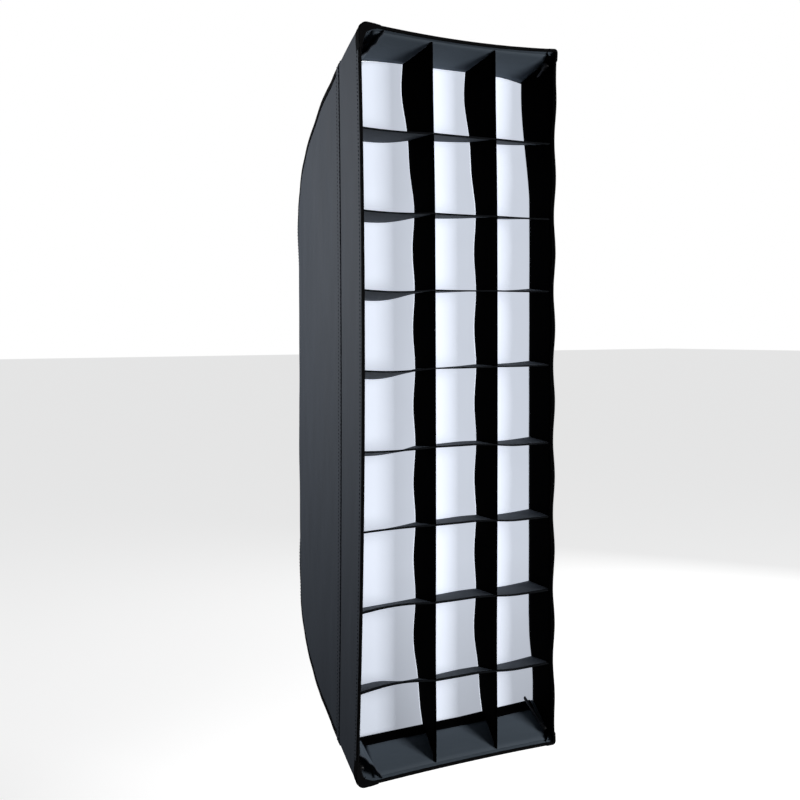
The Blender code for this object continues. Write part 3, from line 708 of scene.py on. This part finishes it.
class MakeRim(bpy.types.Operator):
    """Bind the rim with a folded tape"""
    bl_idname = "strip_softbox.rim"
    bl_label = "Rim binding"

    def execute(self, context):
        stations = rim_stations(144, 50, 8)[:-1]
        radius = sizes().piping
        depth = radius * 0.9
        points = []
        for station in stations:
            point = wall_point(station, 0.0, radius * 0.85)
            points.append(Vector((point.x, FRONT_Y + depth, point.z)))
        radii = [radius * (1 + 0.05 * noise.noise(point * 60)) for point in points]
        shape = tube_round(points, radii, 10, closed=True)
        weave = shape.loops.layers.uv.new("weave")
        for face in shape.faces:
            for loop in face.loops:
                spot = loop.vert.co
                loop[weave].uv = (spot.z + spot.x, spot.y)
        add_piece("rim_binding", shape, ("webbing",), "softbox", ("front_edge_binding",))
        seam = bmesh.new()
        row = [wall_point(station, radius * 2.6, -0.0003) for station in rim_stations(144, 50, 5)]
        sew(seam, row, self.outwards, sizes().stitch)
        add_piece("rim_stitches", seam, ("thread",), "softbox", ())
        return {"FINISHED"}

    @staticmethod
    def outwards(place):
        half_x, half_z = wall_at(0.0)
        flat = Vector((1, 0, 0)) if half_x - abs(place.x) < half_z - abs(place.z) else Vector((0, 0, 1))
        return flat * (1 if place.dot(flat) > 0 else -1)


class MakeCornerPockets(bpy.types.Operator):
    """Sew the pockets that hold the rods' tips, with a webbing cap over each corner"""
    bl_idname = "strip_softbox.corner_pockets"
    bl_label = "Corner pockets"

    def execute(self, context):
        for name, (side_x, side_z) in CORNERS.items():
            self.make_gusset(name, side_x, side_z)
            self.make_cap(name, side_x, side_z)
        return {"FINISHED"}

    def make_gusset(self, name, side_x, side_z):
        inset = CLOTH + 0.0006

        def place(u, v):
            depth = 0.003 + (0.040 if side_x < 0 else 0.012) * v
            half_x, half_z = wall_at(depth)
            leg = 0.028 - 0.003 * v if side_x < 0 else 0.009 - 0.003 * v
            share = u * 2 - 1
            top = wall_point((side_x * (half_x - leg) / half_x, side_z, math.radians(90 * side_z)),
                             depth, inset)
            wall = wall_point((side_x, side_z * (half_z - leg) / half_z, 0.0 if side_x > 0 else math.pi),
                              depth, inset)
            point = top.lerp(wall, u)
            bow = 0.0025 * (1 - share * share) * (1 - 0.5 * v)
            ripple = 0.0008 * math.sin(u * 19 + v * 6) * (1 - share * share)
            return point + Vector((-side_x, 0, -side_z)).normalized() * (bow + ripple)
        shape = cloth_grid((16, 14), place, flat_pattern(0.038, 0.042))
        # Left pockets take the lighter recess cloth, painted light; right pockets take the near-black grid cloth,
        # painted shade.
        material = "recess" if side_x < 0 else "upright"
        gusset = add_piece("corner_pocket_cloth_" + name, shape, (material,), "softbox",
                           ("corner_pocket_" + name,))
        thicken(gusset, 0.0008, offset=0.0)
        if side_x > 0:
            return

        def hem_place(u, v):
            near = place(u, 0.0)
            return near + Vector((0, 0.0045 * v - 0.0006, 0)) + Vector((-side_x, 0, -side_z)) * 0.0006
        shape = cloth_grid((16, 2), hem_place, flat_pattern(0.038, 0.0045))
        hem = add_piece("corner_pocket_hem_" + name, shape, ("shell",), "softbox", ())
        thicken(hem, 0.0012, offset=0.0)

    def make_cap(self, name, side_x, side_z):
        """A short piece of webbing folded over the rim at the corner."""
        half_x, half_z = wall_at(0.0)
        reach = 0.020 if side_x < 0 else 0.010
        stations = []
        for step in range(9):
            stations.append((side_x, side_z * (half_z - reach * (1 - step / 8)) / half_z,
                             0.0 if side_x > 0 else math.pi))
        turn_from = 0.0 if side_x > 0 else math.pi
        turn_to = math.radians(90) * side_z if side_x > 0 else math.pi - math.radians(90) * side_z
        for step in range(1, 8):
            stations.append((side_x, side_z, turn_from + (turn_to - turn_from) * step / 8))
        for step in range(9):
            stations.append((side_x * (half_x - reach * step / 8) / half_x, side_z, turn_to))
        last = len(stations) - 1

        def place(u, v):
            station = stations[round(u * last)]
            wide = 0.0045 + 0.0085 * math.sin(math.pi * u) ** 2 if side_x < 0 else 0.0030
            fold = v * 2 - 1
            proud = 0.0006 * min(math.sin(math.pi * u) * 2, 1) if side_x < 0 else 0.0
            if fold < 0:
                depth, inset = 0.007 * -fold, -proud
            else:
                depth, inset = 0.0, wide * fold - proud
            point = wall_point(station, depth, inset)
            front = max(1 - abs(fold) * 2.5, 0.0)
            return point - Vector((0, 0.0004 + 0.0006 * front, 0))
        shape = cloth_grid((last, 12), place, flat_pattern(0.060, 0.022))
        face_outwards(shape, Vector((side_x * (half_x - reach), FRONT_Y + 0.02, side_z * (half_z - reach))))
        cap = add_piece("corner_cap_" + name, shape, ("webbing",), "softbox", ())
        thicken(cap, 0.0008)


class MakeSeams(bpy.types.Operator):
    """Lay binding tape and stitches over the four corner seams and the recess seam"""
    bl_idname = "strip_softbox.seams"
    bl_label = "Seams"

    def execute(self, context):
        stitches = bmesh.new()
        for name, (side_x, side_z) in CORNERS.items():
            self.bind_corner(stitches, name, side_x, side_z)
        self.bind_recess(stitches)
        add_piece("seam_stitches", stitches, ("thread",), "softbox", ())
        return {"FINISHED"}

    def bind_corner(self, stitches, name, side_x, side_z):
        """A tape folded over the seam where a side wall meets an end wall."""
        turn_from = 0.0 if side_x > 0 else math.pi
        turn_to = math.radians(90) * side_z if side_x > 0 else math.pi - math.radians(90) * side_z
        depths = [RECESS + 0.002 + (DEPTH - RECESS - 0.004) * step / 48 for step in range(49)]

        def place(u, v):
            depth = depths[round(v * 48)]
            half_x, half_z = wall_at(depth)
            turn = turn_from + (turn_to - turn_from) * min(max(u * 2 - 0.5, 0.0), 1.0)
            spare_z = max(0.25 - u, 0.0) * 0.020
            spare_x = max(u - 0.75, 0.0) * 0.020
            station = (side_x * (1 - spare_x / half_x), side_z * (1 - spare_z / half_z), turn)
            point = wall_point(station, depth, -0.0007)
            return point + wrinkles(point, turn, depth) * sizes().fold
        shape = cloth_grid((16, 48), place, flat_pattern(0.018, 0.40))
        face_outwards(shape, Vector((0, FRONT_Y + 0.12, 0)))
        tape = add_piece("corner_seam_tape_" + name, shape, ("webbing",), "softbox", ())
        thicken(tape, 0.0009)
        for u in (0.06, 0.94):
            row = [place(u, step / 48) for step in range(49)]
            centre = Vector((0, FRONT_Y + 0.12, 0))
            sew(stitches, row, lambda spot: (spot - centre).normalized(), sizes().stitch)

    def bind_recess(self, stitches):
        """The raised seam where the recess band meets the wall panels."""
        stations = rim_stations(130, 50, 5)
        offsets = ((-0.0032, -0.0001), (-0.0026, -0.0009), (-0.0010, -0.0012), (0.0, -0.0002),
                   (0.0010, -0.0012), (0.0026, -0.0009), (0.0032, -0.0001))
        count = len(stations) - 1

        def place(u, v):
            step, inset = offsets[round(v * 6)]
            return wall_point(stations[round(u * count)], RECESS + step, inset)

        shape = cloth_grid((count, 6), place, lambda u, v, _m: (u * perimeter(RECESS), v * 0.008), closed=True)
        face_outwards(shape, Vector((0, FRONT_Y + RECESS, 0)))
        ridge = add_piece("recess_seam_fold", shape, ("shell",), "softbox", ())
        thicken(ridge, 0.0006)
        perimeter(RECESS)
        0.75 * perimeter(RECESS) * 0.010
        for step in (-0.0024, 0.0024):
            row = [wall_point(station, RECESS + step, -0.0011) for station in stations]
            sew(stitches, row, MakeRim.outwards, sizes().stitch)


class MakeCollarAndTapes(bpy.types.Operator):
    """Sew the webbing collar at the ring and the loop tape behind the diffuser"""
    bl_idname = "strip_softbox.collar_and_tapes"
    bl_label = "Collar and tapes"

    def execute(self, context):
        stations = rim_stations(40, 40, 5)
        low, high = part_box("rear_collar")
        start, end = low.y - FRONT_Y, high.y - FRONT_Y - 0.0004
        depths = [start + (end - start) * step / 6 for step in range(7)]
        wrapped = loft(stations, depths, CLOTH + 0.0006)
        collar = add_piece("rear_collar_webbing", wrapped, ("webbing",), "softbox",
                           ("rear_collar",))
        thicken(collar, WEBBING)
        perimeter(start)
        0.7 * perimeter(start) * 0.05

        low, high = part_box("recess_loop_tape")
        self.frame_tape("recess_loop_tape_cloth", "recess_loop_tape", low.y, "softbox")
        low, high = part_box("diffuser_hook_tape")
        self.frame_tape("diffuser_hook_tape_cloth", "diffuser_hook_tape", low.y, "diffuser")
        return {"FINISHED"}

    def frame_tape(self, name, node, level, body):
        """A flat tape round the recess, square to the light."""
        stations = rim_stations(60, 24, 4)
        count = len(stations) - 1
        depth = level - FRONT_Y

        def place(u, v):
            point = wall_point(stations[round(u * count)], depth, 0.003 + 0.016 * v)
            return Vector((point.x, level, point.z))
        shape = cloth_grid((count, 3), place, lambda u, v, _m: (u * perimeter(RECESS), v * 0.016), closed=True)
        tape = add_piece(name, shape, ("loop",), body, (node,))
        thicken(tape, 0.0010, offset=-1.0 if shape_faces_back(tape) else 1.0)
        perimeter(RECESS)


def shape_faces_back(piece):
    """Whether a flat piece's first face looks towards +Y."""
    return piece.data.polygons[0].normal.y < 0


class MakeGrid(bpy.types.Operator):
    """Weave the grid: borders, upright strips and level strips, slack between their crossings"""
    bl_idname = "strip_softbox.grid"
    bl_label = "Grid"

    front = 0.0052
    back = RECESS - 0.0008

    def execute(self, context):
        for number, line in enumerate(UPRIGHTS, 1):
            self.make_upright(number, line)
        for number, line in enumerate(reversed(LEVELS), 1):
            self.make_level(number, line)
        self.make_borders()
        return {"FINISHED"}

    def side_limit(self, z, depth, side):
        """Where the inside of a side border is."""
        half_z = wall_at(depth)[1]
        station = (side, max(min(z / half_z, 1.0), -1.0), 0.0 if side > 0 else math.pi)
        wall = wall_point(station, depth, CLOTH + 0.0010).x
        turned = side * (wall_at(depth)[0] - 0.0020) + grid_shift(0, z, depth)[0]
        return min(wall, turned) if side > 0 else max(wall, turned)

    def end_limit(self, x, depth, side):
        """Where the inside of the top or bottom border is."""
        half_x = wall_at(depth)[0]
        station = (max(min(x / half_x, 1.0), -1.0), side, math.radians(90 * side))
        wall = wall_point(station, depth, CLOTH + 0.0012).z
        shifted = side * wall_at(depth)[1] + grid_shift(x, 0, depth)[1]
        if side > 0:
            return min(wall, shifted + TOP_LIFT * hump(depth, 1.3, 0.05) - 0.0020)
        return max(wall, shifted + 0.0025)

    def upright_x(self, line, z, depth):
        """An upright leans with the grid's turn and bellies out between the levels."""
        share = depth / RECESS
        between = (z - LEVELS[0]) / ROW_PITCH
        belly = 0.0030 * math.sin(math.pi * between) ** 2 * share**2
        bow = 0.002 * (1 - (z / 0.44) ** 2)
        return line + bow + grid_shift(0, z, depth)[0] - belly

    def level_z(self, line, x, depth):
        """A level hangs a little between the uprights, most along its back edge."""
        share = depth / RECESS
        edges = [-0.146, *UPRIGHTS, 0.146]
        sag = 0.0
        for index, (low, high) in enumerate(zip(edges, edges[1:])):
            if low <= x <= high:
                t = (x - low) / (high - low)
                belly = math.sin(math.pi * t)
                slacker = 1 + 0.9 * math.exp(-((line - 0.08) / 0.14) ** 2)
                deep = sizes().sag * (slacker if index == 0 else 0.3)
                sag = deep * belly * (0.25 + 0.75 * share)
                if index == 0:
                    sag -= 0.0060 * belly * eased(-line / 0.33)
        lean = sizes().sag * 0.4 * share * eased((0.02 - x) / 0.1)
        hang = 0.0055 * eased((line - 0.08) / 0.20) + 0.0045 * eased((x - 0.02) / 0.07) * eased(-line / 0.05)
        foot = 0.0065 * share * eased((-line - 0.26) / 0.06) * eased((x + 0.10) / 0.05)
        return line + grid_shift(x, 0, depth)[1] - sag - lean - hang - foot

    def strip(self, name, node, steps, place, size, material):
        shape = cloth_grid(steps, place, flat_pattern(*size))
        piece = add_piece(name, shape, (material,), "grid", (node,))
        thicken(piece, 0.0009, offset=0.0)
        return piece

    def make_upright(self, number, line):
        def place(u, v):
            depth = self.front + (self.back - self.front) * v
            x = self.upright_x(line, 0.0, depth)
            low, high = self.end_limit(x, depth, -1), self.end_limit(x, depth, 1)
            z = low + 0.0008 + (high - low - 0.0016) * u
            return Vector((self.upright_x(line, z, depth), FRONT_Y + depth, z))
        # Painted shade: the uprights and their hems take the near-black grid cloth.
        self.strip(f"grid_upright_cloth_{number}", f"grid_upright_{number}", (160, 8), place, (0.84, 0.043),
                   "upright")
        self.hem(f"grid_upright_hem_{number}", lambda u: place(u, 0.0), 160, (0.84, 0.010), "upright")

    def make_level(self, number, line):
        middles = {k: sum(corner.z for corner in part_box(f"grid_level_{k}")) / 2 for k in range(1, 9)}
        node_number = min(middles, key=lambda k: abs(middles[k] - line))

        def place(u, v):
            depth = self.front - 0.0012 + (self.back - self.front + 0.0012) * v
            low, high = self.side_limit(line, depth, -1) + 0.0008, self.side_limit(line, depth, 1) - 0.0008
            x = low + (high - low) * u
            return Vector((x, FRONT_Y + depth, self.level_z(line, x, depth)))
        self.strip(f"grid_level_cloth_{number}", f"grid_level_{node_number}", (60, 8), place, (0.288, 0.044),
                   "level")
        self.hem(f"grid_level_hem_{number}", lambda u: place(u, 0.0), 60, (0.288, 0.010), "hem")

    def hem(self, name, edge, steps, size, material):
        """The folded front edge of a strip, a little thicker than the cloth."""
        def place(u, v):
            return edge(u) + Vector((0, 0.0048 * v - 0.0004, 0))
        shape = cloth_grid((steps, 2), place, flat_pattern(size[0], 0.0048))
        piece = add_piece(name, shape, (material,), "grid", ())
        thicken(piece, 0.0017, offset=0.0)

    def make_borders(self):
        for name, side in (("left", -1), ("right", 1)):
            def place(u, v, side=side):
                depth = self.front + (self.back - self.front) * v
                low, high = self.end_limit(side * 0.12, depth, -1), self.end_limit(side * 0.12, depth, 1)
                short = 0.022 if side < 0 else 0.0012
                z = low + short + (high - low - 2 * short) * u
                return Vector((self.side_limit(z, depth, side), FRONT_Y + depth, z))
            # Painted shade: the side borders take the near-black grid cloth, like the uprights.
            self.strip("grid_border_cloth_" + name, "grid_border_" + name, (120, 8), place, (0.82, 0.043),
                       "upright")
        for name, side in (("bottom", -1), ("top", 1)):
            def place(u, v, side=side):
                depth = self.front + (self.back - self.front) * v
                low = self.side_limit(side * 0.38, depth, -1) + 0.020
                high = self.side_limit(side * 0.42, depth, 1) - 0.0014
                x = low + (high - low) * u
                return Vector((x, FRONT_Y + depth, self.end_limit(x, depth, side)))
            # The end borders take the lighter recess cloth, painted light.
            self.strip("grid_border_cloth_" + name, "grid_border_" + name, (60, 8), place, (0.265, 0.050),
                       "recess")

        # A near-black strip along the back of the bottom border: partly the edge of the diffuser's tape, partly
        # painted shade at the back of the bottom lip.
        def tape_place(u, v):
            depth = self.back - 0.0100 * v
            low, high = self.side_limit(-0.42, depth, -1) + 0.006, self.side_limit(-0.42, depth, 1) - 0.006
            x = low + (high - low) * u
            return Vector((x, FRONT_Y + depth, self.end_limit(x, depth, -1) + 0.0012))
        shape = cloth_grid((60, 3), tape_place, flat_pattern(0.28, 0.010))
        tape = add_piece("grid_back_tape_and_shade_bottom", shape, ("upright",), "grid", ())
        thicken(tape, 0.0009, offset=0.0)


class MakeDiffuser(bpy.types.Operator):
    """Stretch the white front cloth across the recess"""
    bl_idname = "strip_softbox.diffuser"
    bl_label = "Front diffuser"

    def execute(self, context):
        depth = RECESS
        half_x, half_z = wall_at(depth)
        left = (-1, 0.0, math.pi)

        def place(u, v):
            z_share = v * 2 - 1
            left = wall_point((-1, z_share, math.pi), depth, CLOTH + 0.0012)
            right = wall_point((1, z_share, 0.0), depth, CLOTH + 0.0012)
            point = left.lerp(right, u)
            top = wall_point((u * 2 - 1, 1, math.pi / 2), depth, CLOTH + 0.0012)
            bottom = wall_point((u * 2 - 1, -1, -math.pi / 2), depth, CLOTH + 0.0012)
            z = bottom.z + (top.z - bottom.z) * v
            ripple = 0.0004 * noise.noise(Vector((point.x * 22, z * 9, 2.0)))
            return Vector((point.x, FRONT_Y + depth + 0.0003 + ripple, z))
        shape = cloth_grid((60, 150), place, flat_pattern(half_x * 2, half_z * 2))
        for side_x, side_z in CORNERS.values():
            corner = place((side_x + 1) / 2, (side_z + 1) / 2)
            spot = corner - Vector((side_x * (0.027 if side_x < 0 else 0.004), 0, 0))
            bmesh.ops.bisect_plane(shape, geom=shape.verts[:] + shape.edges[:] + shape.faces[:], dist=1e-6,
                                   plane_co=spot, plane_no=Vector((side_x, 0, side_z)), clear_outer=True)
        cloth = add_piece("front_diffuser_cloth", shape, ("diffuser",), "diffuser", ("front_diffuser",))
        thicken(cloth, 0.0007, offset=-1.0 if shape_faces_back(cloth) else 1.0)
        return {"FINISHED"}


class MakeBaffle(bpy.types.Operator):
    """Hang the inner white cloth on its four elastic straps"""
    bl_idname = "strip_softbox.baffle"
    bl_label = "Inner baffle"

    def execute(self, context):
        low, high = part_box("inner_baffle")
        width, height = high.x - low.x, high.z - low.z
        middle = (low + high) / 2

        def place(u, v):
            s, t = u * 2 - 1, v * 2 - 1
            pull_x = 1 - 0.05 * (1 - t * t)
            pull_z = 1 - 0.03 * (1 - s * s)
            bell = 0.004 * (1 - s * s) * (1 - t * t)
            soft = 0.0015 * noise.noise(Vector((s * 2.1, t * 4.2, 7.0)))
            return middle + Vector((s * width / 2 * pull_x, bell + soft, t * height / 2 * pull_z))
        # The baffle takes the diffuser cloth, so it carries the same painted glow.
        cloth = add_piece("inner_baffle_cloth", cloth_grid((30, 70), place, flat_pattern(width, height)),
                          ("diffuser",), "baffle", ("inner_baffle",))
        thicken(cloth, 0.0007, offset=0.0)

        border = [place(t, 0.0) for t in np.linspace(0, 1, 31)]
        border += [place(1.0, t) for t in np.linspace(0, 1, 71)]
        border += [place(1 - t, 1.0) for t in np.linspace(0, 1, 31)]
        border += [place(0.0, 1 - t) for t in np.linspace(0, 1, 71)]
        seam = bmesh.new()
        sew(seam, [middle + (point - middle) * 0.975 - Vector((0, 0.0006, 0)) for point in border],
            lambda spot: Vector((0, -1, 0)), sizes().stitch * 1.4)
        add_piece("baffle_hem_stitches", seam, ("elastic",), "baffle", ())
        for name, (side_x, side_z) in CORNERS.items():
            self.make_strap(name, side_x, side_z, place)
        return {"FINISHED"}

    def make_strap(self, name, side_x, side_z, baffle_place):
        low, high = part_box("baffle_strap_" + name)
        start = baffle_place((side_x + 1) / 2, (side_z + 1) / 2)
        end = Vector((high.x if side_x > 0 else low.x, (low.y + high.y) / 2, high.z if side_z > 0 else low.z))
        along = (end - start)
        side = along.cross(Vector((0, 1, 0))).normalized()

        def place(u, v):
            narrow = 0.5 * (0.009 - 0.002 * math.sin(math.pi * u))
            sag = Vector((0, 0, -0.004 * math.sin(math.pi * u)))
            reached = start - along.normalized() * 0.008 * (1 - u) + along * u * 0.97
            return reached + side * (v * 2 - 1) * narrow + sag
        length = along.length
        shape = cloth_grid((24, 4), place, flat_pattern(length, 0.009))
        strap = add_piece("baffle_strap_elastic_" + name, shape,
                          ("elastic",), "baffle", ("baffle_strap_" + name,))
        thicken(strap, 0.0011, offset=0.0)


class MakeRods(bpy.types.Operator):
    """Finish the rods, their tips and their sockets"""
    bl_idname = "strip_softbox.rods"
    bl_label = "Rods and sockets"

    def execute(self, context):
        for name in CORNERS:
            rod = frame["nodes"]["rod_" + name]
            rod.data.materials.clear()
            rod.data.materials.append(MATERIALS["rod"])
            softened_copy("rod_tip_" + name, "rod_tip_cap_" + name, "plastic", 0.0014)
            softened_copy("rod_socket_" + name, "rod_socket_steel_" + name, "zinc", 0.0004)
        return {"FINISHED"}


class MakeRingAndMount(bpy.types.Operator):
    """Finish the speed ring, the lamp insert, its retainer and screws"""
    bl_idname = "strip_softbox.ring_and_mount"
    bl_label = "Speed ring and mount"

    def execute(self, context):
        softened_copy("speed_ring", "speed_ring_casting", "casting", 0.0012)
        softened_copy("mount_insert", "mount_insert_turned", "anodised", 0.0005)
        softened_copy("retaining_ring", "retaining_ring_plated", "zinc", 0.0004)
        for number in range(1, 5):
            self.make_screw(number)
        return {"FINISHED"}

    def make_screw(self, number):
        """A pan-head screw with a shallow round recess in its head."""
        node = f"retainer_screw_{number}"
        low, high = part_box(node)
        head = (high.x - low.x) / 2
        shape = bmesh.new()
        shape.from_mesh(frame["nodes"][node].data)
        bmesh.ops.remove_doubles(shape, verts=shape.verts, dist=1e-5)
        bmesh.ops.dissolve_limit(shape, angle_limit=math.radians(1), verts=shape.verts, edges=shape.edges)
        cap = min(shape.faces, key=lambda face: face.calc_center_median().y)
        bmesh.ops.inset_region(shape, faces=[cap], thickness=head * 0.45)
        bmesh.ops.translate(shape, verts=cap.verts, vec=(0, 0.0006, 0))
        piece = add_piece(f"retainer_screw_pan_{number}", shape, ("zinc",), "mount", (node,))
        rounded = piece.modifiers.new("rounded edges", "BEVEL")
        rounded.width = 0.0003
        rounded.segments = 2
        rounded.limit_method = "ANGLE"
        rounded.angle_limit = math.radians(40)
        piece.data.set_sharp_from_angle(angle=math.radians(50))


class MakeLock(bpy.types.Operator):
    """Finish the clamping knob and its stud"""
    bl_idname = "strip_softbox.lock"
    bl_label = "Lock knob"

    def execute(self, context):
        softened_copy("lock_knob", "lock_knob_moulded", "plastic", 0.0009)
        softened_copy("lock_stud", "lock_stud_plated", "zinc", 0.0003)
        return {"FINISHED"}


class SetStage(bpy.types.Operator):
    """Set the camera, the lights and the pale floor"""
    bl_idname = "strip_softbox.stage"
    bl_label = "Stage"

    def execute(self, context):
        scene = context.scene
        self.set_camera(scene)
        self.set_world(scene)
        self.set_floor(scene)
        self.add_light("key_from_behind_left", (-1.0, 0.30, 0.36), (-0.15, -0.10, 0.20), 0.5, 0.5, 4.4, 105)
        self.add_light("fill_from_front_right", (1.7, -2.2, 0.10), (0.0, FRONT_Y, 0.0), 0.9, 1.5, 50, 180)
        self.add_light("rim_from_right", (1.8, 0.9, 0.6), (0.0, 0.0, 0.0), 1.0, 1.5, 9, 180)
        scene.view_settings.view_transform = "Standard"
        return {"FINISHED"}

    def set_camera(self, scene):
        camera_data = bpy.data.cameras.new("camera")
        camera_data.lens = 58.5
        camera_data.sensor_width = 36.0
        camera_data.dof.use_dof = False
        camera = bpy.data.objects.new("camera", camera_data)
        scene.collection.objects.link(camera)
        yaw, pitch, roll = math.radians(32.8), math.radians(-3.17), math.radians(-0.22)
        forward = Vector((math.sin(yaw) * math.cos(pitch), math.cos(yaw) * math.cos(pitch), math.sin(pitch)))
        level = Vector((math.cos(yaw), -math.sin(yaw), 0.0))
        upright = level.cross(forward)
        right = level * math.cos(roll) + upright * math.sin(roll)
        up = upright * math.cos(roll) - level * math.sin(roll)
        turn = Matrix((right, up, -forward)).transposed().to_4x4()
        camera.matrix_world = Matrix.Translation((-0.929, FRONT_Y - 1.301, 0.096)) @ turn
        scene.camera = camera

    def set_world(self, scene):
        """White behind the object, and a weaker even light on it."""
        world = bpy.data.worlds.new("studio")
        scene.world = world
        world.use_nodes = True
        tree = world.node_tree
        tree.nodes.clear()
        seen = add_node(tree, "ShaderNodeLightPath", {}).outputs["Is Camera Ray"]
        even = add_node(tree, "ShaderNodeBackground", {"Color": (0.93, 0.96, 1.0, 1.0), "Strength": 0.035})
        white = add_node(tree, "ShaderNodeBackground", {"Color": (1.0, 1.0, 1.0, 1.0), "Strength": 1.0})
        mixed = add_node(tree, "ShaderNodeMixShader", {0: seen, 1: even.outputs[0], 2: white.outputs[0]})
        add_node(tree, "ShaderNodeOutputWorld", {"Surface": mixed.outputs[0]})

    def set_floor(self, scene):
        shape = bmesh.new()
        bmesh.ops.create_grid(shape, x_segments=1, y_segments=1, size=30)
        bmesh.ops.translate(shape, verts=shape.verts, vec=(0, 0, -0.62))
        mesh = bpy.data.meshes.new("floor")
        shape.to_mesh(mesh)
        shape.free()
        floor = bpy.data.objects.new("floor", mesh)
        scene.collection.objects.link(floor)
        material, _tree, shader = start_material("white_studio_paper", 0.9)
        shader.inputs["Base Color"].default_value = (0.85, 0.85, 0.85, 1.0)
        shader.inputs["Emission Color"].default_value = (1.0, 1.0, 1.0, 1.0)
        shader.inputs["Emission Strength"].default_value = 0.75
        mesh.materials.append(material)
        floor.visible_diffuse = False
        floor.visible_glossy = False

    def add_light(self, name, place, target, width, height, power, spread):
        data = bpy.data.lights.new(name, "AREA")
        data.shape = "RECTANGLE"
        data.size = width
        data.size_y = height
        data.energy = power
        data.spread = math.radians(spread)
        light = bpy.data.objects.new(name, data)
        bpy.context.scene.collection.objects.link(light)
        light.location = place
        light.rotation_euler = (Vector(target) - Vector(place)).to_track_quat("-Z", "Y").to_euler()


class StripSoftboxPanel(bpy.types.Panel):
    """Lists the pieces in the order they are made"""
    bl_idname = "VIEW3D_PT_strip_softbox"
    bl_label = "Strip softbox"
    bl_space_type = "VIEW_3D"
    bl_region_type = "UI"
    bl_category = "Softbox"

    def draw(self, context):
        for group in (context.scene.strip_softbox_sizes, context.scene.strip_softbox_colours):
            for field in group.bl_rna.properties.keys():
                if field not in ("rna_type", "name"):
                    self.layout.prop(group, field)
        for maker in MAKERS:
            self.layout.operator(maker.bl_idname)


MAKERS = (MakeFinishes, MakeShell, MakeRecess, MakeRim, MakeCornerPockets, MakeSeams, MakeCollarAndTapes,
          MakeGrid, MakeDiffuser, MakeBaffle, MakeRods, MakeRingAndMount, MakeLock, SetStage)
CLASSES = (StripSoftboxSizes, StripSoftboxColours, *MAKERS, StripSoftboxPanel)


def register():
    for item in CLASSES:
        bpy.utils.register_class(item)
    bpy.types.Scene.strip_softbox_sizes = bpy.props.PointerProperty(type=StripSoftboxSizes)
    bpy.types.Scene.strip_softbox_colours = bpy.props.PointerProperty(type=StripSoftboxColours)


def unregister():
    del bpy.types.Scene.strip_softbox_colours
    del bpy.types.Scene.strip_softbox_sizes
    for item in reversed(CLASSES):
        bpy.utils.unregister_class(item)


def main():
    register()
    for maker in MAKERS:
        getattr(bpy.ops.strip_softbox, maker.bl_idname.split(".")[1])()


if __name__ == "__main__":
    main()
